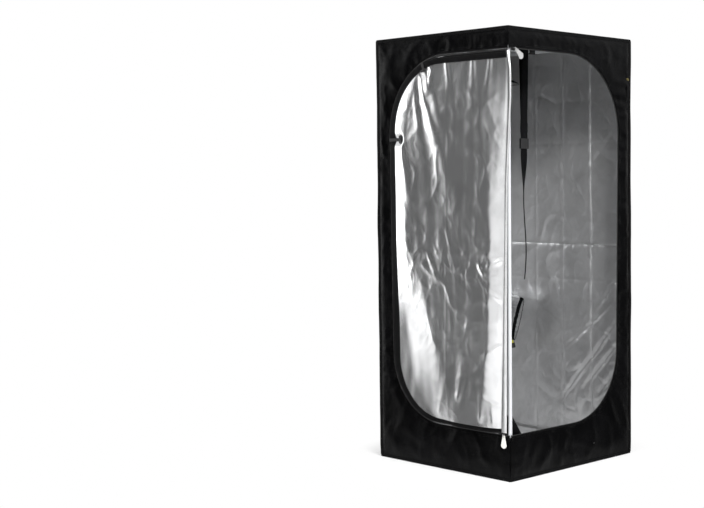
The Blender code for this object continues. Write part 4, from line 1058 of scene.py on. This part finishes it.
def flapOut(s, z, far):
    # how far the folded-back half stands off the left face
    dFar, dNear = far - s, s - turnAt(z)
    dTop, dFoot = door["top"] - door["inset"] - z, z - door["bottom"] - door["inset"]
    spots = onLeft(s, z, 0)
    # it falls away from a crest to its far edge, to the fold line, to the top and to the foot
    crest = np.interp(z, flap["crestHeights"], flap["crestPlaces"])
    crest = np.minimum(crest + flap["crestWander"] * rough(joined(0, 0, z), 0.16, 61), far - flap["crestRoom"])
    fall = np.clip((s - crest) / (far - crest), 0, 1)
    low = smoothStep((flap["lowBelow"] - z) / flap["lowOver"])
    leftFall = 1 - (1 - low) * (0.75 * fall ** 1.5 + 0.25 * fall) - low * smoothStep(fall / flap["lowFlat"])
    rightReach = np.interp(z, flap["reachHeights"], flap["rightReach"]) * (1 + 0.16 * rough(spots, 0.07, 62))
    rightFall = 1 - (1 - np.clip(dNear / rightReach, 0, 1)) ** 2
    topFall = smoothStep(dTop / (flap["topReach"] + 0.03 * rough(spots, 0.06, 63)))
    topFall = flap["topStart"] + (1 - flap["topStart"]) * topFall
    footFall = flap["footStart"] + (1 - flap["footStart"]) * smoothStep(dFoot / flap["footReach"])
    lift = np.interp(z, flap["riseHeights"], flap["rise"]) * leftFall * rightFall * topFall * footFall
    # soft waves, hanging folds and small crumples
    calm, hung = np.minimum(leftFall, rightFall) * topFall, rightFall * topFall
    lift = lift + flap["swells"][0] * rough(spots, flap["swells"][1], 65) * calm
    height, wide, tall = flap["hanging"]
    lift = lift + height * rough(joined(s / wide, z / tall + s / 0.3, 0), 1.0, 64) * hung
    lift = lift + flap["fine"][0] * rough(spots, flap["fine"][1], 66) * hung
    for first, second, thin, wide, height in tensionFolds:
        share, away = segmentSpread(s, z, first, second)
        crease = height * np.exp(-((away / (thin + (wide - thin) * share)) ** 2))
        lift = lift + crease * (1 - 0.85 * share) * smoothStep(share * 6 + 0.25)
    middle = np.exp(-(((z - flap["crumpled"]) / flap["crumpledOver"]) ** 2)) * rightFall
    for where, height, size, seed, sharp in (
        (middle, 0.0010, 0.06, 67, 2.4), (middle, 0.0005, 0.028, 68, 2.0),
        (calm, 0.0010, 0.1, 69, 3.0), (calm, 0.0004, 0.04, 70, 2.4),
    ):
        lift = lift + where * height * creases(spots, size, seed, sharp)
    # puckers along the sewn edges
    sewn = np.minimum(dTop, dFoot)
    seam = smoothStep(np.minimum(sewn, dFar) / flap["seam"])
    height, fade, pitch, reach = flap["hemPuckers"]
    height = height + flap["footMore"][0] * np.exp(-np.maximum(dFoot, 0) / flap["footMore"][1])
    lift = lift + height * np.exp(-sewn / fade) * (1 + gathers(s, sewn, pitch, reach, 71)) * seam
    height, fade, pitch, reach = flap["farPuckers"]
    lift = lift + height * np.exp(-dFar / fade) * (1 + gathers(z, dFar, pitch, reach, 73)) * seam
    lift = lift + foldCreases(s, z, flap["lines"]) * calm
    near, over = flap["toggleDimple"]
    for first, second in toggles:
        lift = lift * smoothStep((segmentSpread(s, z, first, second)[1] - near) / over)
    return flap["stand"] + np.maximum(lift, flap["least"]) * smoothStep(dNear / 0.012)


def makeFlap():
    s, z, far = halfGrid(-door["inset"], flap["columns"], flap["rows"], turnAt)
    made = layCloth("doorFolded", onLeft(s, z, flapOut(s, z, far)), flap["thick"], "doorFilm", "oxford", True)
    settle(made, "door_open", "film", "door_flap")
    declare(made, door["cut"], "hung", ["toggle_upper", "toggle_side", "doorFold"])


def onFlap(s, z, lift):
    curve = doorCurve(-door["inset"])[::-1]
    return onLeft(s, z, flapOut(s, z, np.interp(z, curve[:, 1], curve[:, 0])) + lift)


def makeFlapBorder():
    # the black zip tape sewn round the curved edge of the silver side
    border = {
        "lengths": (0, 0.28, 0.67, 1.38, 1.72, 2.0), "wide": (0.022, 0.022, 0.031, 0.031, 0.0125, 0.0125),
        "lift": 0.0008, "thick": 0.0006, "seams": (0.22, 0.93), "seamLift": 0.0012, "coil": 0.0014, "coilOut": 0.0012,
    }
    edge = doorLine(-door["inset"], flap["turnPlaces"][0], flap["turnPlaces"][-1])
    run = unitRuns(edge)
    across = joined(run[:, 1], -run[:, 0])
    outward = alike((-1.0, 0.0, 0.0), edge)
    wide = np.interp(lengthAlong(edge), border["lengths"], border["wide"])
    flat = edge[:, None, :] + across[:, None, :] * (wide[:, None] * np.linspace(0, 1, 9))[..., None]
    for name, lift in (("flapBorderOut", border["lift"]), ("flapBorderIn", -border["lift"])):
        points = onFlap(flat[..., 0], flat[..., 1], lift)
        made = layCloth(name, points, border["thick"], "tape", flip=facesIn(points, (-1.0, 0.0, 0.0)))
        settle(made, "door_open", "tape")
    for number, share in enumerate(border["seams"]):
        s, z = (edge + across * (wide * share)[:, None]).T
        layStitches(f"flapStitch{number}", onFlap(s, z, border["seamLift"]), outward, "door_open", "tape")
    spots = onFlap(*edge.T, 0) - joined(0, *across.T) * border["coilOut"]
    layCoil("zipCoilFlap", spots, outward, border["coil"], "door_open")


def makeFold():
    # the cloth that turns from the zipped half to the folded half, down the whole fold line
    turn = {
        "steps": 17, "rows": 150, "inset": 0.0078, "reach": 0.004, "footReach": 14.5, "lapReach": 0.25,
        "soft": (0.0014, 0.035), "taped": 0.0085, "cut": (0.05, 1.17), "blendAt": 0.7,
    }
    z = np.linspace(door["top"] - turn["inset"], door["bottom"] + turn["inset"], turn["rows"])[:, None]
    inner, outer = nearAt(z), turnAt(z)
    low, high = -skin, flap["stand"]
    # the loop gets deeper towards its foot, so that it reaches the corner there too
    reach = turn["reach"] + turn["footReach"] * inner ** 2 + np.maximum(inner - outer, 0) * turn["lapReach"]
    angle = math.pi * np.linspace(0, 1, turn["steps"])[None, :]
    share = (1 - np.cos(angle)) / 2
    out = low + (high - low) * share
    soft = turn["soft"][0] * rough(joined(0, out, z), turn["soft"][1], 77) * np.sin(angle)
    s = inner + (outer - inner) * smoothStep(share) - reach * np.sin(angle) - np.abs(soft)
    made = layCloth("doorFold", onLeft(s, z, out), flap["thick"], "doorFilm", "oxford", True)
    # the turn itself is black tape, which is all that shows of it once the door is closed
    made.data.materials.append(looks["tape"])
    for face in made.data.polygons:
        if -tentHalf - face.center.x < turn["taped"]:
            face.material_index = len(made.data.materials) - 1
    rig.blend(made, "door_zipped", "door_open", onLeft(0.0, turn["blendAt"], low), onLeft(0.0, turn["blendAt"], high))
    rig.slot(made, "film")
    declare(made, turn["cut"], "folded", ["doorZippedHalf"])


makeZippedHalf()
makeFlap()
makeFlapBorder()
makeFold()
print("door made")


sock = {
    "thick": 0.0012, "narrow": 0.032, "drawn": 0.009, "folds": (0.0025, 7), "ripples": (0.0013, 17),
    "gathers": (0.0012, 34), "slack": 0.0012, "sides": 140, "rings": 48,
    "hem": 0.014, "hemRise": 0.0012, "hemThick": 0.0007, "pleats": (0.0007, 52),
    "collar": (0.0005, 0.011), "collarLift": 0.0007, "collarThick": 0.0008,
    "lower": (0.160, 0.028, math.radians(17), True),
    "upper": (0.120, 0.036, math.radians(48), False),
}


def sockSpots(kind, angle, share, shrink):
    # from the round port to a flat mouth, upright or lying, that hangs and leans
    length, drop, tilt, upright = sock[kind]
    radius, bend, puff = ports["radius"], smoothStep(share), hump(share)
    longAxis = math.sqrt(2 * radius ** 2 - sock["narrow"] ** 2)
    narrow, wide = (sock["drawn"], longAxis) if upright else (longAxis, sock["drawn"])
    ripple = sock["folds"][0] * puff * np.cos(sock["folds"][1] * angle + share)
    fine = sock["ripples"][0] * puff * np.cos(sock["ripples"][1] * angle + 5 * np.sin(3 * angle) + 2.5 * share)
    mouth = sock["gathers"][0] * smoothStep((share - 0.62) / 0.3)
    gather = mouth * np.cos(sock["gathers"][1] * angle + 3 * np.sin(5 * angle))
    extra = ripple + fine + gather - sock["slack"] * puff - shrink
    aside = (radius + (narrow - radius) * bend + extra) * np.cos(angle)
    up = (radius + (wide - radius) * bend + extra) * np.sin(angle)
    out = share * length + up * np.sin(tilt * bend)
    return joined(ports[kind][0] + aside, tentHalf - out, ports[kind][1] - drop * share ** 2 + up * np.cos(tilt * bend))


def makeSock(kind):
    length, title = sock[kind][0], kind.title()
    angles = np.linspace(0, math.tau, sock["sides"], endpoint=False)
    share, angle = grid(np.linspace(0, 1 - 0.001 / length, sock["rings"]), angles)
    points = swollen(sockSpots(kind, angle, share, sock["thick"] / 2))
    made = layCloth(f"ductSock{title}", points, sock["thick"] * 0.8, "doorFilm", "liner", True, True)
    settle(made, "tent", "film", f"duct_sock_{kind}")
    declare(made, (math.tau * ports["radius"], length), "hung")
    hemStart = 1 - sock["hem"] / length
    share, angle = grid(np.linspace(hemStart, 1, 9), angles)
    puff = hump((share - hemStart) / (1 - hemStart))
    pleat = sock["pleats"][0] * np.cos(sock["pleats"][1] * angle + 4 * np.sin(7 * angle))
    points = swollen(sockSpots(kind, angle, share, -sock["hemRise"] * puff ** 0.4 - pleat * puff))
    hem = layCloth(f"sockHem{title}", points, sock["hemThick"], "tape", flip=True, loop=True)
    settle(hem, "tent", "cover")
    share, angle = grid(np.linspace(0, 1, 4), angles)
    reach = ports["radius"] + sock["collar"][0] + sock["collar"][1] * share
    s = ports[kind][0] + tentHalf + reach * np.cos(angle)
    points = swollen(onBack(s, ports[kind][1] + reach * np.sin(angle), sock["collarLift"]))
    settle(layCloth(f"portRing{title}", points, sock["collarThick"], "tape", loop=True), "tent", "cover")


strap = {
    "x": -0.033, "y": -0.12, "width": 0.03, "thick": 0.0015, "pole": 0.0065, "gap": 0.0003, "topZ": 1.388,
    "join": 1.135, "start": 1.035, "end": 0.606, "sag": 0.009, "edge": 0.0002,
    "twist": math.radians(38), "twistFrom": 0.03, "twistTo": 0.34,
}
keeper = {
    "low": 1.088, "high": 1.118, "half": 0.0156, "deep": 0.0031, "thick": 0.0009, "sides": 40,
    "stitchAt": 0.011, "stitchIn": 0.003, "stitchLift": 0.0005,
}


def strapRoute():
    # the webbing's middle line as (y, z), and its twist, from the sewn end over the bar and down the tail
    wrap = strap["pole"] + strap["gap"] + strap["thick"] / 2
    apart = (strap["thick"] + strap["gap"]) / 2
    top, join, start = strap["topZ"], strap["join"], strap["start"]
    over = math.pi * (1 - np.linspace(0, 1, 17))
    sewn = [
        straight((-apart, start), (-apart, join), 11), straight((-apart, join), (-wrap, top), 25)[1:],
        joined(wrap * np.cos(over), top + wrap * np.sin(over))[1:],
        straight((wrap, top), (apart, join), 25)[1:], straight((apart, join), (apart, start), 11)[1:],
    ]
    share = np.linspace(0, 1, 66)[1:]
    turn = smoothStep((share - strap["twistFrom"]) / (strap["twistTo"] - strap["twistFrom"]))
    sway = strap["sag"] * smoothStep(share) * np.sin(math.tau * share)
    tail = joined(apart + sway, start + (strap["end"] - start) * share)
    line = np.concatenate([*sewn, tail])
    return line, np.concatenate([np.zeros(len(line) - len(tail)), strap["twist"] * turn])


def makeStrap():
    line, twist = strapRoute()
    run = unitRuns(line)
    across = joined(np.cos(twist), np.sin(twist) * np.abs(run[:, 1]), 0)
    spots = joined(strap["x"], line[:, 0] + strap["y"], line[:, 1])
    shares = np.linspace(-0.5, 0.5, 9)
    edge = strap["edge"] * np.cos(math.tau * 2 * shares)
    points = spots[:, None, :] + across[:, None, :] * (shares * strap["width"])[None, :, None]
    points = points + joined(0, -run[:, 1], run[:, 0])[:, None, :] * edge[None, :, None]
    made = layCloth("strapWeb", points, strap["thick"] * 0.88, "webbing")
    settle(made, "strap", "webbing", "hang_strap")
    declare(made, (strap["width"], float(lengthAlong(spots)[-1])), "hung", ["hanging_bar_front"])


def makeKeeper():
    # the loop of webbing that holds the tail, and its stitches
    angles = np.linspace(0, math.tau, keeper["sides"], endpoint=False)
    c, s = np.cos(angles), np.sin(angles)
    across = keeper["half"] * np.copysign(np.abs(c) ** 0.25, c)
    deep = keeper["deep"] * np.copysign(np.abs(s) ** 0.5, s)
    z = np.linspace(keeper["high"], keeper["low"], 8)[:, None]
    points = joined(strap["x"] + across, strap["y"] + deep, z)
    settle(layCloth("strapKeeper", points, keeper["thick"], "webbing", loop=True), "buckle", "webbing")
    z = np.linspace(keeper["low"] + keeper["stitchIn"], keeper["high"] - keeper["stitchIn"], 12)
    for number, face in enumerate((-1, 1)):
        y = strap["y"] + face * (keeper["deep"] + keeper["stitchLift"])
        for column, aside in enumerate((-keeper["stitchAt"], keeper["stitchAt"])):
            spots = joined(strap["x"] + aside, y, z)
            layStitches(f"keeperStitch{number}{column}", spots, alike((0.0, face, 0.0), spots), "buckle", "webbing")


def makeGusset():
    cut = {
        "deep": 0.045, "low": 0.045, "stepZ": 0.126, "step": 0.0045, "shoulder": 0.14, "high": 0.206, "tip": 0.004,
        "room": 0.0003, "hem": 0.0004, "bulge": (0.0012, 0.16), "wave": (0.0006, 0.02), "seam": 0.9,
    }
    wide = cut["deep"] - math.sqrt(2) * (tent["fabric"] + cut["room"])
    level = np.linspace(cut["high"], cut["low"], 60)[:, None]
    knots = [cut["low"], cut["stepZ"], cut["stepZ"] + cut["step"], cut["shoulder"], cut["high"]]
    sizes = [wide, wide, wide - cut["step"], wide - cut["step"], cut["tip"]]
    reach = np.interp(level, knots, sizes) - cut["hem"]

    def acrossCorner(aside, back):
        root = math.sqrt(2)
        return joined((aside + back) / root - tentHalf, (back - aside) / root - tentHalf, level)

    share = np.linspace(-1, 1, 25)[None, :]
    depth = cut["bulge"][0] * hump((level - cut["low"]) / cut["bulge"][1])
    depth = depth + cut["wave"][0] * rough(joined(reach * share, level, 0), cut["wave"][1], 81)
    points = acrossCorner(reach * share, cut["deep"] + skin + depth * (1 - share ** 2))
    made = layCloth("cornerGusset", points, tent["fabric"] * 0.9, "oxford")
    settle(made, "tent", "cover", "corner_gusset")
    declare(made, (2 * wide, cut["high"] - cut["low"]), "stretched")
    for number, share in enumerate((-cut["seam"], cut["seam"])):
        spots = acrossCorner(reach * share, cut["deep"] - cut["hem"])[:, 0]
        outward = alike((-math.sqrt(0.5), -math.sqrt(0.5), 0.0), spots)
        layStitches(f"gussetStitch{number}", spots, outward, "tent", "cover")


def makeTray():
    tray = {
        "half": 0.2765, "wall": 0.0011, "low": 0.0015, "tall": 0.0345, "share": 0.84,
        "lean": (0.0012, 0.07), "ripple": (0.0012, 0.09),
    }
    flat, half = tray["share"], tray["half"] - tray["wall"] / 2
    steps = np.concatenate([np.linspace(-1, -flat, 7)[:-1], np.linspace(-flat, flat, 41), np.linspace(flat, 1, 7)[1:]])
    v, u = grid(steps, steps)
    radius = np.maximum(np.abs(u), np.abs(v))
    scale = np.where(radius > flat, flat / np.maximum(radius, 1e-9), 1.0) / flat
    x, y = u * scale * half, v * scale * half
    rise = np.clip((radius - flat) / (1 - flat), 0, 1)
    z = tray["low"] + tray["wall"] / 2 + rise * (tray["tall"] - tray["wall"])
    lean = 1 - tray["lean"][0] * rise * (1 + rough(joined(x, y, z), tray["lean"][1], 91)) / half
    x, y = x * lean, y * lean
    ripple = tray["ripple"][0] * np.abs(rough(joined(x, y, 0), tray["ripple"][1], 93)) * (1 - rise)
    made = layCloth("spillTray", joined(x, y, z + ripple), tray["wall"], "linerLying", "oxfordLying", True)
    settle(made, "tent", "film", "spill_tray")
    wide = 2 * (half + tray["tall"])
    declare(made, (wide, wide), "laid", ["floor_panel"])


def makeNet():
    net = {"pitch": 0.0024, "thread": 0.0007, "y": 0.2993, "inset": 0.0004, "over": 0.00012, "steps": 12}
    bm = bmesh.new()
    half, turn = net["thread"] / 2, math.pi / net["pitch"]
    ends = []
    for middle, size in ((vent["x"], vent["width"]), (vent["z"], vent["height"])):
        ends.append((middle - size / 2 + net["inset"], middle + size / 2 - net["inset"]))
    for upright in (True, False):
        first, last = ends[0] if upright else ends[1]
        for index in range(int((last - first) / net["pitch"]) + 1):
            fixed = first + index * net["pitch"]
            rings = []
            for at in np.linspace(*ends[1 if upright else 0], net["steps"] + 1):
                weave = net["over"] * math.sin(at * turn + index * math.pi) * (1 if upright else -1)
                ring = []
                for aside, deep in ((-half, 0), (0, half * 0.6), (half, 0), (0, -half * 0.6)):
                    y = net["y"] + weave + deep
                    ring.append(bm.verts.new((fixed + aside, y, at) if upright else (at, y, fixed + aside)))
                rings.append(ring)
            addTube(bm, rings)
    bmesh.ops.recalc_face_normals(bm, faces=bm.faces)
    made = settle(addBmesh("ventNet", bm, "net"), "tent", "mesh", "vent_mesh")
    declare(made, (vent["width"], vent["height"]), "stretched")


def makeVentCover():
    cover = {
        "thick": 0.001, "stand": 0.0009, "edge": 0.03, "rise": 0.0012, "wave": (0.0022, 0.07),
        "pucker": (0.0009, 0.016, 0.02), "seams": (0.003, 0.0095), "seamLift": 0.0016,
    }
    wide, tall = vent["width"] / 2 + vent["hem"], vent["height"] / 2 + vent["hem"]
    z, x = grid(np.linspace(tall, -tall, 40), np.linspace(-wide, wide, 70))
    edge = np.minimum(wide - np.abs(x), tall - np.abs(z))
    depth, size = cover["wave"]
    out = smoothStep(edge / cover["edge"]) * (cover["rise"] + depth * np.abs(rough(joined(x, 0, z), size, 95)))
    depth, pitch, reach = cover["pucker"]
    pucker = depth * (1 + gathers(x + z, edge, pitch, reach, 96)) * np.exp(-edge / reach)
    out = out + pucker * smoothStep(edge / 0.006)

    def onWindow(x, z, out):
        return swollen(onBack(vent["x"] + tentHalf + x, vent["z"] + z, cover["stand"] + out))

    made = layCloth("ventCover", onWindow(x, z, out), cover["thick"], "oxford", flip=True)
    settle(made, "vent_cover", "cover", "vent_cover")
    declare(made, (2 * wide, 2 * tall), "hung", ["coverBack"])
    for number, inset in enumerate(cover["seams"]):
        x, z = wide - inset, tall - inset
        corners = [(-x, z), (-x, -z), (x, -z), (x, z)]
        line = np.concatenate([straight(a, b, 30)[:-1] for a, b in zip(corners, corners[1:] + corners[:1])])
        spots = onWindow(*line.T, cover["seamLift"])
        layStitches(f"ventStitch{number}", spots, alike((0.0, 1.0, 0.0), spots), "vent_cover", "cover")


def makeTieLoop():
    # a loop of narrow webbing sewn by the front's right margin, with a metal eyelet in its patch
    tie = {
        "s": 0.582, "low": 1.165, "high": 1.315, "width": 0.012, "thick": 0.001, "stand": 0.0045, "lift": 0.0012,
        "sway": 0.0015, "crown": 0.0002, "eyelet": (0.583, 1.267), "eyeletLift": 0.0019, "eyeletThick": 0.0004,
        "profile": ((0.0026, 0.0), (0.003, 0.0009), (0.0039, 0.0013), (0.0048, 0.0009), (0.0051, 0.0)),
    }
    share = np.linspace(0, 1, 34)
    out = tie["lift"] + tie["stand"] * hump((share - 0.34) / 0.5) ** 2
    z = tie["high"] + (tie["low"] - tie["high"]) * share
    spots = swollen(onFront(tie["s"] + tie["sway"] * np.sin(5 * share), z, out))
    aside, outward = alike((1.0, 0.0, 0.0), z), alike((0.0, -1.0, 0.0), z)
    look = (tie["width"], tie["thick"], "webbing", "tent", "webbing", tie["crown"])
    layRibbon("tieLoop", spots, aside, outward, *look)
    angles = np.linspace(0, math.tau, 40, endpoint=False)[None, :]
    radius, lift = np.array(tie["profile"]).T[..., None]
    s, z = tie["eyelet"][0] + radius * np.cos(angles), tie["eyelet"][1] + radius * np.sin(angles)
    points = swollen(onFront(s, z, tie["eyeletLift"] + lift))
    settle(layCloth("tieEyelet", points, tie["eyeletThick"], "oldBrass", loop=True), "tent", "metal")


makeSock("lower")
makeSock("upper")
makeStrap()
makeKeeper()
makeGusset()
makeTray()
makeNet()
makeVentCover()
makeTieLoop()
print("inner and rear pieces made")


finishOf = {
    "upright": "pole", "top_bar": "pole", "base_bar": "pole", "hanging_bar": "pole",
    "connector": "plastic", "bar_clip": "plastic", "strap_buckle": "plastic", "toggle": "plastic",
    "slider": "plastic", "pull_ring": "nickel", "pull_tab_top": "greyPull", "pull_tab_bottom": "whitePull",
    "cord_lock": "plastic", "lock_button": "button",
}
for name, node in nodes.items():
    for start, look in finishOf.items():
        if name.startswith(start):
            node.data.materials.clear()
            node.data.materials.append(looks[look])
print("frame finished")


room = {"floor": 7.0, "clear": 0.3, "fade": 0.25, "shade": (0.86, 0.86, 0.86), "air": 0.3, "middle": (0, 0, 0.7)}


def makeFloor():
    bm = bmesh.new()
    bmesh.ops.create_grid(bm, x_segments=8, y_segments=8, size=room["floor"])
    floor = addBmesh("studioFloor", bm)
    paint = Paint("studioFloor", room["shade"], 0.7, specular=0.2)
    paint.feed("Roughness", 0.66 + paint.cloudy(0.5) * 0.1)
    # the camera sees plain white away from the tent
    white = paint.node("Emission", {}, {"Color": (1, 1, 1, 1), "Strength": 1.0})
    far = paint.node("VectorMath", {"operation": "LENGTH"}, {0: paint.place}, "Value")
    share = far.above(room["clear"], room["fade"]) * paint.node("LightPath", out="Is Camera Ray")
    lit = Wire(paint, paint.shader.outputs[0])
    mixed = paint.node("MixShader", {}, {0: share, 1: lit, 2: white})
    paint.feed("Surface", mixed, paint.tree.nodes["Material Output"])
    floor.data.materials.append(paint.material)
    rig.stage(floor)


def makeAir():
    world = bpy.data.worlds.new("studioAir")
    bpy.context.scene.world = world
    world.use_nodes = True
    board = Board(world.node_tree, "Background")
    path = board.node("LightPath").socket.node
    seen, glossy, clear = (Wire(board, path.outputs[f"Is {kind} Ray"]) for kind in ("Camera", "Glossy", "Transmission"))
    direct = seen.calc("MAXIMUM", seen, glossy.calc("MAXIMUM", glossy, clear))
    board.feed("Color", (1, 1, 1, 1))
    board.feed("Strength", room["air"] + direct * (1 - room["air"]))


def aimed(made, spot, target):
    made.location = spot
    made.rotation_euler = (Vector(target) - Vector(spot)).to_track_quat("-Z", "Y").to_euler()


def makeLamp(name, spot, target, size, power):
    lamp = bpy.data.lights.new(name, "AREA")
    lamp.shape = "RECTANGLE"
    lamp.size, lamp.size_y = size
    lamp.energy = power
    aimed(addObject(name, lamp), spot, target)


def makeBoard(name, spot, target, size, dark, core, spin=None):
    # a stage board, dark in its middle, that shapes what the silver cloth reflects and is seen in nothing else
    mesh = bpy.data.meshes.new(name)
    wide, tall = size[0] / 2, size[1] / 2
    mesh.from_pydata([(-wide, -tall, 0), (wide, -tall, 0), (wide, tall, 0), (-wide, tall, 0)], [], [(0, 1, 2, 3)])
    paint = Paint(name, (0.02, 0.02, 0.02), 0.9, specular=0.0)
    paint.feed("Roughness", 0.85 + paint.cloudy(0.4) * 0.1)
    away = paint.node("VectorMath", {"operation": "LENGTH"}, {0: paint.stretched((1 / wide, 1 / tall, 0))}, "Value")
    level = dark + away.above(core, 1 - core) * (1 - dark)
    paint.feed("Emission Color", paint.mixed(level, (0.0, 0.0, 0.0), (1.0, 1.0, 1.0)))
    paint.feed("Emission Strength", 1.0)
    mesh.materials.append(paint.material)
    made = addObject(name, mesh)
    aimed(made, spot, target)
    if spin is not None:
        made.rotation_euler = (0.0, 0.0, math.radians(spin))  # it lies flat
    made.visible_camera = made.visible_diffuse = made.visible_shadow = False
    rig.stage(made)


def makeCamera():
    view = {
        "spot": (-3.266827, -3.065804, 0.926660), "right": (0.684048, -0.729413, -0.005966),
        "up": (0.043591, 0.032713, 0.998514), "ahead": (0.728133, 0.683291, -0.054174),
        "focal": 1328.287, "frame": 704, "aside": 153, "sensor": 36.0,
    }
    data = bpy.data.cameras.new("camera")
    data.sensor_width = view["sensor"]
    data.lens = view["focal"] / view["frame"] * view["sensor"]
    data.shift_x = -view["aside"] / view["frame"]
    camera = addObject("camera", data)
    turn = Matrix((view["right"], view["up"], [-part for part in view["ahead"]])).transposed()
    camera.matrix_world = Matrix.Translation(view["spot"]) @ turn.to_4x4()
    bpy.context.scene.camera = camera


makeFloor()
makeAir()
makeCamera()
makeLamp("keyLamp", (-3.4, -0.6, 2.6), room["middle"], (1.6, 1.6), 32)
makeLamp("doorLamp", (-1.5, -3.3, 3.4), (0.3, 0.05, 0.3), (1.0, 1.0), 230)
makeLamp("topLamp", (-0.4, -0.6, 3.6), room["middle"], (2.4, 2.4), 48)
makeLamp("sideLamp", (-1.3, 3.0, 0.9), (-0.3, 0.0, 0.6), (1.2, 2.4), 17)
makeBoard("shadeBoard", (-2.85, 2.05, 1.2), (-0.3, -0.02, 1.0), (3.0, 8.0), 0.0, 0.5)
makeBoard("floorShade", (-1.72, 1.08, 0.006), room["middle"], (3.9, 1.6), 0.02, 0.5, 140)
makeBoard("frontShade", (2.6, -2.5, 0.3), (0.0, -0.3, 0.7), (3.4, 3.0), 0.1, 0.5)
makeBoard("frontFloorShade", (0.9, -1.3, 0.006), room["middle"], (2.9, 2.2), 0.12, 0.6, -43)
bpy.context.scene.view_settings.view_transform = "Standard"
print("stage set")

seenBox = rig.bounds()
with open("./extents.json", "w") as sizes:
    json.dump({"cad": [list(spot) for spot in cadBox], "visual": [list(spot) for spot in seenBox]}, sizes)
